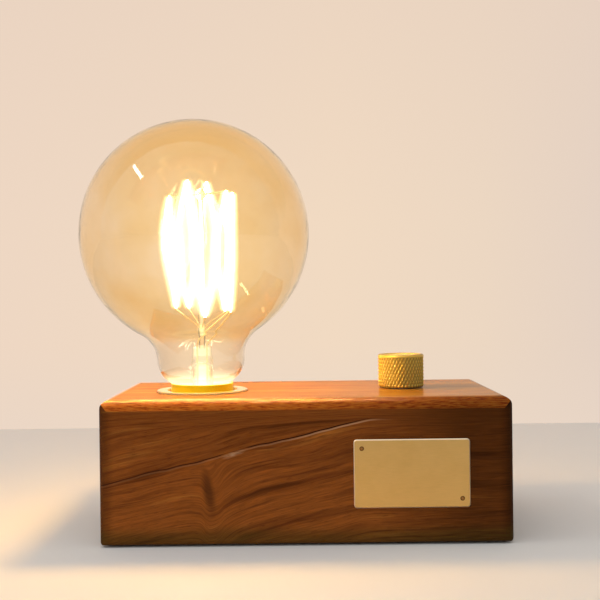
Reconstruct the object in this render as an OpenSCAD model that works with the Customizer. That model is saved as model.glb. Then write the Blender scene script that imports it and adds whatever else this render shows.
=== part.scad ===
// Bare bulb table lamp: a solid wood block with a porcelain holder let into its top, a large globe
// bulb, and a knurled brass dimmer knob. Millimetres, +X to the right, +Y to the back, +Z up.
// The origin is on the table, under the middle of the block.

/* [Wood block] */
// Width of the block, left to right
block_w = 158; // [150:1:200]
// Depth of the block, front to back
block_d = 80; // [76:1:110]
// Height of the wood alone
block_h = 55.3; // [53:0.1:70]
// Radius of the edges round the top
top_edge_r = 4.5; // [2:0.1:6]
// Radius of the four upright edges
corner_r = 3.5; // [2:0.1:8]
// Radius of the edges round the underside
bottom_edge_r = 1.7; // [0.5:0.1:3]

/* [Hollow under the block] */
// Width of the wiring hollow
hollow_w = 122; // [116:1:126]
// Depth of the wiring hollow, front to back
hollow_d = 56; // [55:1:57]
// Radius of the hollow's corners
hollow_corner_r = 10; // [4:0.5:14]
// Width of the deeper pocket round the dimmer
pocket_w = 41; // [39:0.5:44]
// Depth of that pocket, front to back
pocket_d = 40; // [38:0.5:46]
// Radius of that pocket's corners, the cutter's own
pocket_corner_r = 5; // [3:0.5:8]
// Wood left between that pocket and the top
dimmer_wall = 5; // [3:0.1:6]

/* [Cover and felt] */
// Width of the bottom cover
cover_w = 138; // [134:1:142]
// Depth of the bottom cover, front to back
cover_d = 68; // [66:1:70]
// Thickness of the bottom cover
cover_t = 2.5; // [2:0.1:4]
// How far the cover lies inside the underside
cover_inset = 0.7; // [0.2:0.1:1]
// Radius of the cover's corners
cover_corner_r = 8; // [4:0.5:12]
// Gap round the cover's edge
cover_gap = 0.3; // [0.1:0.05:0.6]
// Distance of the cover's screws from its edges
cover_screw_edge = 5.5; // [5:0.5:7]
// Diameter of a cover screw's shank
cover_screw_d = 3; // [2.5:0.1:3.5]
// Diameter of a cover screw's head
cover_screw_head_d = 6; // [5:0.1:7]
// Length of a cover screw
cover_screw_len = 14; // [10:1:20]
// Width of the felt sheet
felt_w = 112; // [80:1:116]
// Depth of the felt sheet, front to back
felt_d = 52; // [30:1:54]
// Thickness of the felt sheet
felt_t = 1.5; // [1.2:0.1:3]
// Radius of the felt's corners
felt_corner_r = 6; // [2:0.5:12]

/* [Name plate] */
// Width of the bare brass plate
plate_w = 44.1; // [36:0.1:50]
// Height of the plate
plate_h = 26; // [20:0.1:30]
// Thickness of the plate
plate_t = 0.8; // [0.5:0.1:1.5]
// Width of the bevel round the plate
plate_bevel = 0.35; // [0.1:0.05:0.4]
// Radius of the plate's corners
plate_corner_r = 1.2; // [0.8:0.1:4]
// Place of the plate's middle from the block's middle
plate_x = 40.05; // [30:0.05:45]
// Height of the plate's middle above the wood's underside
plate_z = 26.5; // [20:0.1:32]
// Distance of the two pins from the plate's upright edges
pin_edge_x = 3.05; // [2:0.05:6]
// Distance of the two pins from the plate's long edges
pin_edge_z = 3.4; // [2:0.05:6]
// Diameter of a pin's head
pin_head_d = 1.75; // [1.4:0.05:3]
// Height of a pin's domed head
pin_head_h = 0.35; // [0.2:0.05:0.7]
// Diameter of a pin's shank
pin_d = 1.2; // [0.8:0.1:1.3]
// Length of a pin's shank
pin_len = 9; // [5:0.5:12]

/* [Lamp holder] */
// Place of the holder's axis from the block's middle
holder_x = -42.5; // [-43:0.1:-38]
// Place of the holder's axis in front of the block's middle
holder_y = -6; // [-8:0.1:0]
// Diameter of the porcelain rim on the wood
rim_d = 37.3; // [36:0.1:42]
// Thickness of the rim
rim_t = 2.5; // [2:0.1:4]
// How far the rim stands above the wood
rim_proud = 0.8; // [0.4:0.1:2]
// Radius of the rim's outer edge
rim_edge_r = 0.5; // [0.2:0.1:0.7]
// Diameter of the porcelain body below the rim
holder_d = 34.5; // [33:0.1:36]
// Gap between the porcelain and the wood
holder_gap = 0.3; // [0.1:0.05:0.5]
// Diameter of the mouth above the screw shell
mouth_d = 28.6; // [28:0.1:30]
// Bore of the brass screw shell
shell_bore = 26.6; // [26.2:0.1:27]
// Sheet thickness of the shell
shell_t = 0.4; // [0.3:0.05:0.5]
// Height of the shell
shell_h = 20; // [16:0.5:21]
// Gap between the shell and the porcelain
shell_gap = 0.1; // [0.05:0.05:0.2]
// Diameter of the well below the shell
well_d = 22; // [21.6:0.1:23]
// Depth of the well's floor below the bulb's contact
contact_room = 3; // [2.6:0.1:4]
// Gap between the bulb's contact and the spring tongue at rest
tongue_gap = 0.3; // [0.2:0.05:0.5]
// Thickness of the spring tongue
tongue_t = 0.5; // [0.3:0.05:0.6]
// Width of the spring tongue
tongue_w = 5; // [4:0.5:6]
// Side of a square terminal
terminal_w = 6.4; // [5.5:0.1:6.8]
// Height of a terminal
terminal_h = 5; // [4:0.1:5.5]
// Distance of the terminals from the holder's axis
terminal_y = 11; // [10.6:0.1:11.2]
// Gap round a terminal in its socket
terminal_gap = 0.2; // [0.1:0.05:0.3]
// Porcelain between the well's floor and the terminals
holder_floor = 4.2; // [3.8:0.1:4.6]
// Depth of the terminals inside the porcelain's underside
terminal_sink = 0.3; // [0.1:0.1:0.8]
// Gap that the strap is drawn across
strap_gap = 1.5; // [0.5:0.1:2]
// Gap between the strap's front end and the hollow's wall
strap_end_gap = 1; // [0.5:0.1:2]
// Width of the strap
strap_w = 12; // [10:0.5:13]
// Thickness of the strap
strap_t = 1.5; // [1:0.1:2]
// Distance of the strap's screws from the holder's axis
strap_screw_x = 7.8; // [7:0.1:8]

/* [Bulb] */
// Diameter of the globe
globe_d = 94.4; // [80:0.1:100]
// Height of the globe's middle above the cap's rim
globe_rise = 61.5; // [58:0.1:66]
// Lean of the glass to the left, about the cap's rim, in degrees
glass_lean = 2.2; // [0:0.1:3]
// Diameter of the neck
neck_d = 36; // [33:0.1:38]
// Height at which the neck starts to widen
neck_top = 10; // [10:0.1:12]
// Height of the shoulder's arc above the cap's rim
shoulder_z = 10; // [9.9:0.1:10]
// Radius of the shoulder
shoulder_r = 11; // [10:0.1:11.2]
// Slope of the shoulder from upright, in degrees
shoulder_slope = 54; // [50:1:56]
// Thickness of the glass
glass_t = 0.7; // [0.5:0.05:1.2]
// Diameter of the glass inside the cap
tail_d = 24; // [23:0.1:24.2]
// Length of the glass inside the cap
tail_len = 10; // [7:0.5:12]
// Diameter of the cap
cap_d = 25.6; // [25:0.1:26]
// Length of the cap, from its rim to its contact
cap_len = 27.5; // [27:0.1:28]
// Height of the cap's brass shell
cap_shell_h = 21.5; // [20:0.1:22]
// Sheet thickness of the cap
cap_t = 0.35; // [0.2:0.05:0.4]
// How far the cap's rim stands above the porcelain
cap_proud = 2.6; // [1:0.1:3]
// Diameter of the cap's centre contact
cap_contact_d = 9.5; // [8:0.1:11]
// Height of the cap's centre contact
cap_contact_h = 1.6; // [1:0.1:2]
// Hole through the cap's insulator for the lead
cap_hole_d = 2.4; // [2:0.1:3]

/* [Filament and its mount] */
// Diameter of the stem tube
stem_d = 9; // [8:0.1:10]
// Wall of the stem tube
stem_t = 0.9; // [0.6:0.1:1.2]
// Height of the pinch above the cap's rim
pinch_z = 7; // [6:0.1:9]
// Height of the pinch itself
pinch_h = 8.5; // [6:0.1:12]
// Width of the pinch
pinch_w = 7.8; // [7:0.1:9]
// Thickness of the pinch
pinch_t = 3.6; // [3:0.1:4.5]
// Diameter of the glass rod above the pinch
rod_d = 2.6; // [2:0.1:3]
// Height of the rod's lower bead above the cap's rim
low_bead_z = 22.5; // [21:0.5:25]
// Height of the rod's upper bead above the cap's rim
high_bead_z = 78; // [74:0.5:82]
// Diameter of the beads
bead_d = 4.4; // [4:0.1:6]
// Radius of the upper ring of hooks
high_ring_r = 14.4; // [12:0.1:16]
// Radius of the lower ring of hooks
low_ring_r = 12.8; // [11:0.1:14]
// Height of the upper hooks above the cap's rim
high_hook_z = 81.5; // [78:0.5:85]
// Height of the lower hooks above the cap's rim
low_hook_z = 29.5; // [26:0.5:32]
// How far the front and back strands bow out halfway up; those on the left bow twice as far, on the right not at all
strand_bow = 1.9; // [0:0.1:3]
// Diameter of the filament
filament_d = 0.5; // [0.4:0.05:0.8]
// Diameter of the support wires
support_d = 0.5; // [0.4:0.05:0.8]
// Diameter of the lead wires
lead_wire_d = 0.7; // [0.5:0.05:0.9]

/* [Dimmer knob] */
// Place of the knob's axis from the block's middle
knob_x = 40.4; // [36:0.1:40.4]
// Diameter of the knob over the knurl
knob_d = 19.1; // [17:0.1:24]
// Height of the knob
knob_h = 13.6; // [12.5:0.1:18]
// Gap under the knob
knob_gap = 0.4; // [0.2:0.05:1]
// Depth of the knurl
knurl_depth = 0.45; // [0.1:0.05:0.6]
// Number of diamonds round the knob
knurl_count = 32; // [20:1:40]
// Height of a row of the knurl
knurl_row = 1.55; // [1.2:0.05:2.5]
// Height of the smooth bevel round the top
knob_bevel = 0.7; // [0.3:0.1:1.2]
// Diameter of the dished top
dish_d = 15.4; // [8:0.1:15.6]
// Depth of the dished top
dish_depth = 0.35; // [0.1:0.05:0.8]
// Diameter of the recess over the nut
nut_recess_d = 13.6; // [13:0.1:14.6]
// Depth of the recess over the nut
nut_recess_h = 3.6; // [3.2:0.1:4.5]
// Diameter of the grub screw
grub_d = 3; // [2:0.5:3]
// Height of the grub screw above the knob's underside
grub_z = 7; // [6:0.1:8]

/* [Dimmer] */
// Diameter of the shaft
shaft_d = 6; // [5:0.1:6]
// Radial gap between the shaft and its bushing
shaft_gap = 0.05; // [0.02:0.01:0.09]
// Radial gap between the shaft and the knob
knob_bore_gap = 0.03; // [0.01:0.01:0.05]
// Length of the shaft inside the knob
shaft_in_knob = 9.8; // [8.8:0.1:10.2]
// Diameter of the bushing
bushing_d = 7.2; // [7.1:0.1:8]
// Gap between the bushing and the wood
bushing_gap = 0.2; // [0.1:0.05:0.4]
// Diameter of the washer
washer_d = 12; // [11:0.1:12.6]
// Thickness of the washer
washer_t = 0.5; // [0.3:0.1:0.6]
// Size of the nut across its flats
nut_af = 10; // [9.5:0.1:10.5]
// Thickness of the nut
nut_t = 2; // [1.5:0.1:2.2]
// Diameter of the dimmer's round housing
housing_d = 17; // [15:0.1:20]
// Height of the housing
housing_h = 9; // [8:0.1:10]
// Wall of the housing
housing_t = 1; // [0.8:0.1:1.4]
// Diameter of the wiper disc on the shaft
wiper_d = 12.6; // [9:0.1:12.8]
// Thickness of the wiper disc
wiper_t = 1.4; // [1:0.1:2]
// Width of the circuit board
board_w = 38; // [36:0.5:38.6]
// Depth of the circuit board
board_d = 36; // [34:0.5:37]
// Thickness of the circuit board
board_t = 1.6; // [1.2:0.1:2]
// Diameter of an inner lead
inner_lead_d = 1.8; // [1.4:0.1:2]

/* [Cord inlet] */
// Place of the inlet from the block's middle
inlet_x = 0; // [-15:1:15]
// Bore of the bush, for a round cord
inlet_bore = 6.4; // [5:0.1:7]
// Diameter of the bush in the wood
bush_d = 9.4; // [8.6:0.1:10.5]
// Diameter of the bush's collar
bush_collar_d = 13; // [11.5:0.1:14]
// Thickness of the bush's collar
bush_collar_t = 1.8; // [1:0.1:3]
// Gap between the bush and the wood
bush_gap = 0.1; // [0.05:0.05:0.2]

/* [Hidden] */
$fn = 72;
cut = 1; // how far a cut runs past a face

// Heights above the table
wood_z = felt_t - cover_inset;
top_z = wood_z + block_h;
cover_z = wood_z + cover_inset;
cover_top_z = cover_z + cover_t;
rim_z = top_z + rim_proud;
cap_rim_z = rim_z + cap_proud;
contact_z = cap_rim_z - cap_len;
well_z = contact_z - contact_room;
shell_ledge_z = contact_z + 2.7;
cap_shell_z = cap_rim_z - cap_shell_h;
terminal_top_z = well_z - holder_floor;
holder_z = terminal_top_z - terminal_h - terminal_sink;
ceiling_z = holder_z - strap_gap;
inlet_z = (cover_top_z + ceiling_z) / 2;
strap_len = hollow_d - 2 * (abs(holder_y) + strap_end_gap);
face_z = top_z - dimmer_wall;
housing_z = face_z - housing_h;
board_z = housing_z - board_t;
knob_z = top_z + knob_gap;
nut_z = top_z + washer_t;
bushing_top_z = nut_z + nut_t + 0.5;
shaft_top_z = knob_z + shaft_in_knob;

// Screws of the cover, the strap and the terminals
cover_screw_x = cover_w / 2 - cover_screw_edge;
cover_screw_y = cover_d / 2 - cover_screw_edge;
csk_h = (cover_screw_head_d - cover_screw_d) / 2;
m3_d = 3;
m3_head_d = 5.5;
m3_head_h = 1.8;
m3_nut_af = 5.5;
m3_nut_h = 2.4;
clamp_head_d = 4.9;
clamp_t = 0.8;
terminal_tap = 4;
shell_seat_d = shell_bore + 2 * shell_t + 2 * shell_gap;
rivet_d = 1.8;
rivet_y = (well_d + shell_seat_d) / 4;

// The glass profile: the fillet that meets the globe and the neck alike
globe_r = globe_d / 2;
neck_r = neck_d / 2;
fillet_drop = globe_rise - neck_top;
fillet_r = (neck_r * neck_r + fillet_drop * fillet_drop - globe_r * globe_r) / (2 * (globe_r - neck_r));
fillet_angle = atan2(fillet_drop, neck_r + fillet_r);

// Azimuth round the cage and height below or above the ring, one row for each hook, seen from above
high_hooks = [[11, -2.5], [84, 3.3], [171, -3.7], [253, 1], [328, -2.8]];
low_hooks = [[42, 0], [122, 1.4], [218, 1.7], [282, -2]];
lead_ends = [[351, -0.3], [343, 0.5]];
tube_sides = 6;

// ---- shapes that repeat ----

// A flat rectangle with round corners, centred; corners on one side may have their own radius
module round_rect(w, h, r, r_low = undef) {
    r2 = is_undef(r_low) ? r : r_low;
    translate([-w / 2, -h / 2 + r2]) square([w, h - r - r2]);
    translate([-w / 2 + r, 0]) square([w - 2 * r, h / 2]);
    translate([-w / 2 + r2, -h / 2]) square([w - 2 * r2, h / 2]);
    for (side = [-1, 1]) {
        translate([side * (w / 2 - r), h / 2 - r]) circle(r);
        translate([side * (w / 2 - r2), -h / 2 + r2]) circle(r2);
    }
}

module slab(w, d, h, r) linear_extrude(h) round_rect(w, d, r);

module at_cover_screws() {
    for (x = [-1, 1], y = [-1, 1]) translate([x * cover_screw_x, y * cover_screw_y, cover_z]) children();
}

module at_plate_pins() {
    x = plate_w / 2 - pin_edge_x;
    z = plate_h / 2 - pin_edge_z;
    for (s = [-1, 1]) translate([plate_x + s * x, -block_d / 2, wood_z + plate_z - s * z])
        rotate([90, 0, 0]) children();
}

// Middle of the holder, turned so that its terminals lie left and right and its strap front to back
module at_holder() translate([holder_x, holder_y, 0]) rotate([0, 0, 90]) children();
module at_knob() translate([knob_x, 0, 0]) children();
module at_strap_screws() at_holder() for (s = [-1, 1]) translate([s * strap_screw_x, 0, 0]) children();
module at_terminals() at_holder() for (s = [-1, 1]) translate([0, s * terminal_y, 0]) children();

module ring(d_out, d_in, h) difference() {
    cylinder(d = d_out, h = h);
    translate([0, 0, -cut]) cylinder(d = d_in, h = h + 2 * cut);
}

module hex_nut(af, h, bore) difference() {
    cylinder(d = af / cos(30), h = h, $fn = 6);
    translate([0, 0, -cut]) cylinder(d = bore, h = h + 2 * cut);
}

// A tube swept along points as one closed mesh: each ring is square to the path, and its first
// direction is carried from ring to ring without twist
function unit(v) = v / norm(v);
function heading(p, i) =
    unit((i > 0 ? unit(p[i] - p[i - 1]) : [0, 0, 0]) +
         (i < len(p) - 1 ? unit(p[i + 1] - p[i]) : [0, 0, 0]));
function square_to(n, t) = unit(n - (n * t) * t);
function first_side(t) = square_to(abs(t[2]) > 0.9 ? [1, 0, 0] : [0, 0, 1], t);
function ring_sides(p) =
    [for (i = 0, n = first_side(heading(p, 0)); i < len(p);
          i = i + 1, n = i < len(p) ? square_to(n, heading(p, i)) : n) n];
module tube(p, d, sides = tube_sides) {
    n = len(p);
    across = ring_sides(p);
    points = [for (i = [0:n - 1], k = [0:sides - 1])
        let (a = 360 * k / sides, u = across[i], v = cross(heading(p, i), u))
        p[i] + d / 2 * (cos(a) * u + sin(a) * v)];
    walls = [for (i = [0:n - 2], k = [0:sides - 1])
        let (a = i * sides + k, b = i * sides + (k + 1) % sides)
        each [[a, a + sides, b], [b, a + sides, b + sides]]];
    polyhedron(points, concat(walls, [[for (k = [0:sides - 1]) k]],
        [[for (k = [sides - 1:-1:0]) (n - 1) * sides + k]]));
}

// ---- wood block, cover, felt and plate ----

// The outline from the front, the side and above, each carried through the block
module block_form() {
    mid = [0, 0, wood_z + block_h / 2];
    intersection() {
        translate([0, 0, wood_z]) slab(block_w, block_d, block_h, corner_r);
        translate(mid) rotate([90, 0, 0]) translate([0, 0, -block_d / 2 - cut])
            linear_extrude(block_d + 2 * cut) round_rect(block_w, block_h, top_edge_r, bottom_edge_r);
        translate(mid) rotate([90, 0, 90]) translate([0, 0, -block_w / 2 - cut])
            linear_extrude(block_w + 2 * cut) round_rect(block_d, block_h, top_edge_r, bottom_edge_r);
    }
}

module wood_block() color("#4a2412") difference() {
    block_form();
    // rebate for the cover, wiring hollow and dimmer pocket
    translate([0, 0, wood_z - cut])
        slab(cover_w + 2 * cover_gap, cover_d + 2 * cover_gap, cover_top_z - wood_z + cut, cover_corner_r);
    slab(hollow_w, hollow_d, ceiling_z, hollow_corner_r);
    at_knob() slab(pocket_w, pocket_d, face_z, pocket_corner_r);
    // holder bore with a seat for its rim
    at_holder() cylinder(d = holder_d + 2 * holder_gap, h = top_z + cut);
    at_holder() translate([0, 0, rim_z - rim_t]) cylinder(d = rim_d + 2 * holder_gap, h = rim_t + cut);
    at_knob() cylinder(d = bushing_d + 2 * bushing_gap, h = top_z + cut);
    translate([inlet_x, 0, inlet_z]) rotate([-90, 0, 0])
        cylinder(d = bush_d + 2 * bush_gap, h = block_d / 2 + cut);
    at_cover_screws() cylinder(d = cover_screw_d, h = cover_screw_len);
    at_plate_pins() translate([0, 0, -pin_len]) cylinder(d = pin_d, h = pin_len + cut);
}

module base_plate() color("#2a2522") difference() {
    translate([0, 0, cover_z]) slab(cover_w, cover_d, cover_t, cover_corner_r - cover_gap);
    at_cover_screws() {
        translate([0, 0, -cut]) cylinder(d = cover_screw_d + 0.4, h = cover_t + 2 * cut);
        cylinder(d1 = cover_screw_head_d, d2 = cover_screw_d, h = csk_h);
    }
}

module cover_screws() color("#9a9a98") at_cover_screws() {
    cylinder(d1 = cover_screw_head_d, d2 = cover_screw_d, h = csk_h);
    cylinder(d = cover_screw_d, h = cover_screw_len);
}

module felt_pad() color("#1c1a19") slab(felt_w, felt_d, felt_t, felt_corner_r);

module name_plate() color("#c9a24a") difference() {
    translate([plate_x, -block_d / 2, wood_z + plate_z]) rotate([90, 0, 0]) hull() {
        slab(plate_w, plate_h, plate_t - plate_bevel, plate_corner_r, $fn = 32);
        slab(plate_w - 2 * plate_bevel, plate_h - 2 * plate_bevel, plate_t,
            plate_corner_r - plate_bevel, $fn = 32);
    }
    at_plate_pins() translate([0, 0, -cut]) cylinder(d = pin_d, h = plate_t + 2 * cut);
}

module plate_pins() color("#5a3a1c") at_plate_pins() {
    cap_r = (pin_head_d * pin_head_d / 4 + pin_head_h * pin_head_h) / (2 * pin_head_h);
    translate([0, 0, -pin_len]) cylinder(d = pin_d, h = pin_len + plate_t);
    intersection() {
        translate([0, 0, plate_t]) cylinder(d = pin_head_d, h = pin_head_h + cut);
        translate([0, 0, plate_t + pin_head_h - cap_r]) sphere(cap_r);
    }
}

module cord_bush() color("#1b1b1b") translate([inlet_x, 0, inlet_z]) rotate([-90, 0, 0])
    difference() {
        union() {
            translate([0, 0, hollow_d / 2]) cylinder(d = bush_d, h = (block_d - hollow_d) / 2);
            translate([0, 0, block_d / 2]) cylinder(d = bush_collar_d, h = bush_collar_t);
        }
        translate([0, 0, hollow_d / 2 - cut])
            cylinder(d = inlet_bore, h = (block_d - hollow_d) / 2 + bush_collar_t + 2 * cut);
    }

// ---- lamp holder ----

// Porcelain body and rim as one turned outline, with the mouth's edge rounded over
module holder_outline() {
    r = rim_edge_r;
    outer = [rim_d / 2 - r, rim_z - r];
    inner = [mouth_d / 2 + r, rim_z - r];
    polygon(concat(
        [[0, holder_z], [holder_d / 2, holder_z], [holder_d / 2, rim_z - rim_t], [rim_d / 2, rim_z - rim_t]],
        [for (a = [0:15:90]) outer + r * [cos(a), sin(a)]],
        [for (a = [90:15:180]) inner + r * [cos(a), sin(a)]],
        [[mouth_d / 2, shell_ledge_z + shell_h], [shell_seat_d / 2, shell_ledge_z + shell_h],
         [shell_seat_d / 2, shell_ledge_z], [well_d / 2, shell_ledge_z], [well_d / 2, well_z], [0, well_z]]));
}

module holder_body() color("#ece7de") difference() {
    at_holder() rotate_extrude() holder_outline();
    at_terminals() translate([0, 0, holder_z - cut]) linear_extrude(terminal_top_z - holder_z + cut)
        square(terminal_w + 2 * terminal_gap, center = true);
    at_strap_screws() translate([0, 0, holder_z - cut]) cylinder(d = m3_d, h = well_z - holder_z + 2 * cut);
    at_holder() {
        translate([0, terminal_y - 2, holder_z]) cylinder(d = rivet_d, h = well_z);
        translate([0, -rivet_y, holder_z]) cylinder(d = rivet_d, h = shell_ledge_z);
    }
}

// Brass cup with its bottom turned in, and the rivet that carries its current down
module holder_shell() color("#c8a353") at_holder() {
    translate([0, 0, shell_ledge_z]) {
        ring(shell_bore + 2 * shell_t, shell_bore, shell_h);
        ring(shell_bore + 2 * shell_t, well_d, shell_t);
    }
    translate([0, -rivet_y, terminal_top_z])
        cylinder(d = rivet_d, h = shell_ledge_z - terminal_top_z + shell_t);
}

// Spring strip: a foot on the well's floor, a slope and a pad below the bulb's contact
module centre_contact() color("#cfae62") at_holder() {
    pad_z = contact_z - tongue_gap;
    foot = terminal_y - 2;
    rotate([90, 0, 90]) translate([0, 0, -tongue_w / 2]) linear_extrude(tongue_w) polygon([
        [foot + 1.2, well_z], [foot + 1.2, well_z + tongue_t], [foot - 2.5, well_z + tongue_t],
        [2.5, pad_z], [-3, pad_z], [-3, pad_z - tongue_t], [2.2, pad_z - tongue_t], [foot - 2.8, well_z]]);
    translate([0, foot, terminal_top_z]) cylinder(d = rivet_d, h = well_z + tongue_t - terminal_top_z);
}

module holder_terminals() color("#c8a353") at_terminals()
    difference() {
        translate([0, 0, terminal_top_z - terminal_h]) linear_extrude(terminal_h)
            square(terminal_w, center = true);
        translate([0, 0, terminal_top_z - terminal_h - cut]) cylinder(d = m3_d, h = terminal_tap + cut);
    }

// Clamping screws under the terminals, each with its captive washer
module terminal_screws() color("#a9a9a6") at_terminals()
    translate([0, 0, terminal_top_z - terminal_h - clamp_t]) {
        cylinder(d = m3_head_d, h = clamp_t);
        translate([0, 0, -m3_head_h]) cylinder(d = clamp_head_d, h = m3_head_h);
        cylinder(d = m3_d, h = clamp_t + terminal_tap);
    }

module holder_strap() color("#9fa2a3") difference() {
    at_holder() translate([0, 0, ceiling_z - strap_t]) slab(strap_len, strap_w, strap_t, 3);
    at_strap_screws() translate([0, 0, ceiling_z - strap_t - cut]) cylinder(d = m3_d, h = strap_t + 2 * cut);
}

module holder_screws() color("#a9a9a6") at_strap_screws() {
    translate([0, 0, well_z]) cylinder(d = m3_head_d, h = m3_head_h);
    translate([0, 0, ceiling_z - strap_t - m3_nut_h - 0.6])
        cylinder(d = m3_d, h = well_z - ceiling_z + strap_t + m3_nut_h + 1.6);
}

module holder_nuts() color("#a9a9a6") at_strap_screws()
    translate([0, 0, ceiling_z - strap_t - m3_nut_h]) hex_nut(m3_nut_af, m3_nut_h, m3_d);

// ---- bulb ----

// Half outline of the glass, drawn in by t: globe, fillet, shoulder, slope and the tail in the cap
function glass_side(t) =
    let (fx = neck_r + fillet_r, s = shoulder_slope, tail_r = tail_d / 2 - t,
         p = [neck_r - shoulder_r + (shoulder_r - t) * cos(s), shoulder_z - (shoulder_r - t) * sin(s)])
    concat(
        [for (i = [0:32]) let (a = 90 - i * (90 + fillet_angle) / 32)
            [i == 0 ? 0 : (globe_r - t) * cos(a), globe_rise + (globe_r - t) * sin(a)]],
        [for (i = [1:8]) let (a = 180 - fillet_angle + i * fillet_angle / 8)
            [fx + (fillet_r + t) * cos(a), neck_top + (fillet_r + t) * sin(a)]],
        [for (i = [0:4]) let (a = -i * s / 4)
            [neck_r - shoulder_r + (shoulder_r - t) * cos(a), shoulder_z + (shoulder_r - t) * sin(a)]],
        [[tail_r, p[1] - (p[0] - tail_r) / tan(s)], [tail_r - 0.5, -tail_len]]);

module in_glass_frame()
    translate([holder_x, holder_y, cap_rim_z]) rotate([0, -glass_lean, 0]) children();

module bulb_glass() color("#f0cd96", 0.45) in_glass_frame() rotate_extrude($fn = 96) {
    inner = glass_side(glass_t);
    polygon(concat(glass_side(0), [for (i = [len(inner) - 1:-1:0]) inner[i]]));
}

// Trumpet, tube, pinch, rod and its two beads, upright in the cap
module bulb_stem() color("#e8d8bc", 0.6) translate([holder_x, holder_y, cap_rim_z]) {
    flare_r = 6;
    foot_z = -tail_len - 0.3;
    foot_r = tail_d / 2 - 0.6;
    tube_r = stem_d / 2;
    arc = [for (i = [0:6]) 270 - 15 * i];
    rotate_extrude() polygon(concat(
        [[foot_r, foot_z - stem_t], [foot_r, foot_z]],
        [for (a = arc) [tube_r + flare_r + flare_r * cos(a), foot_z + flare_r + flare_r * sin(a)]],
        [[tube_r, pinch_z + 1], [tube_r - stem_t, pinch_z + 1]],
        [for (i = [6:-1:0]) let (a = arc[i], r = flare_r + stem_t)
            [tube_r + flare_r + r * cos(a), foot_z + flare_r + r * sin(a)]]));
    intersection() {
        translate([0, 0, pinch_z]) cylinder(d1 = stem_d, d2 = pinch_w, h = pinch_h);
        translate([-stem_d / 2, -pinch_t / 2, pinch_z]) cube([stem_d, pinch_t, pinch_h]);
    }
    translate([0, 0, pinch_z]) cylinder(d = stem_d, h = 1.2);
    translate([0, 0, pinch_z + pinch_h - 1]) cylinder(d = rod_d, h = high_bead_z - pinch_z - pinch_h + 1);
    for (z = [low_bead_z, high_bead_z]) translate([0, 0, z]) sphere(d = bead_d);
}

// A hook's place in the cage: [azimuth, rise] on a ring of radius r at height z above the cap's rim
function on_ring(hook, r, z) = [r * cos(hook[0]), r * sin(hook[0]), z + hook[1]];
function high_at(i) = on_ring(high_hooks[i], high_ring_r, high_hook_z);
function low_at(i) = on_ring(low_hooks[i], low_ring_r, low_hook_z);
function end_at(i) = on_ring(lead_ends[i], low_ring_r, low_hook_z);
// Halfway between two hooks, bowed away from the axis
function bowed(a, b) = let (m = (a + b) / 2, out = unit([m[0], m[1], 0])) m + strand_bow * (1 - out[0]) * out;
function strand(a, b) = [a, bowed(a, b)];

module filament() color("#ffd27a") translate([holder_x, holder_y, cap_rim_z]) {
    n = len(low_hooks);
    tube(concat(
        strand(end_at(0), high_at(0)),
        [for (i = [0:n - 1]) each concat(strand(high_at(i), low_at(i)), strand(low_at(i), high_at(i + 1)))],
        strand(high_at(n), end_at(1)), [end_at(1)]), filament_d);
}

// Straight wires from the beads to the hooks
module support_wires() color("#8a7a66") translate([holder_x, holder_y, cap_rim_z]) {
    for (i = [0:len(high_hooks) - 1]) tube([[0, 0, high_bead_z], high_at(i)], support_d);
    for (i = [0:len(low_hooks) - 1]) tube([[0, 0, low_bead_z], low_at(i)], support_d);
}

// From the contact and the cap's wall, up through the pinch and out to the filament's two ends
module lead_wires() color("#9b8466") translate([holder_x, holder_y, cap_rim_z]) {
    x = pinch_w / 4;
    wall = cap_d / 2 - cap_t;
    tube([[0, 0, -cap_len + cap_contact_h], [0, 0, -14], [-x, 0, -6], [-x, 0, pinch_z + pinch_h + 1],
        [-x + 1, -2.4, low_bead_z - 3.5], end_at(1)], lead_wire_d);
    tube([[wall, 0, -15], [wall - 2, 0, -13.5], [3, 0, -12.5], [x, 0, -9], [x, 0, pinch_z + pinch_h + 1],
        [x + 1.5, 1.2, low_bead_z - 4], end_at(0)], lead_wire_d);
}

module cap_shell() color("#caa048") at_holder() translate([0, 0, cap_shell_z])
    ring(cap_d, cap_d - 2 * cap_t, cap_shell_h);

// Cement between the cap and the leaning glass
module cap_cement() color("#b8ad96") difference() {
    at_holder() translate([0, 0, cap_rim_z - tail_len + 1])
        cylinder(d = cap_d - 2 * cap_t, h = tail_len - 1.4);
    in_glass_frame() rotate_extrude($fn = 96) polygon(concat([[0, 20]], [[neck_r, 20]],
        [for (p = glass_side(0)) if (p[1] < shoulder_z) p], [[0, -tail_len]]));
}

module cap_insulator() color("#1a1a20") at_holder() translate([0, 0, contact_z + cap_contact_h]) {
    h = cap_shell_z - contact_z - cap_contact_h;
    difference() {
        union() {
            cylinder(d1 = cap_contact_d + 1.5, d2 = cap_d - 1, h = h);
            translate([0, 0, h]) cylinder(d = cap_d - 2 * cap_t, h = 2);
        }
        translate([0, 0, -cut]) cylinder(d = cap_hole_d, h = h + 2 + 2 * cut);
    }
}

module cap_contact() color("#b9b6ae") at_holder() translate([0, 0, contact_z]) {
    cylinder(d1 = cap_contact_d - 2, d2 = cap_contact_d, h = cap_contact_h);
}

// ---- dimmer knob and shaft: the pieces that turn ----

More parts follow.
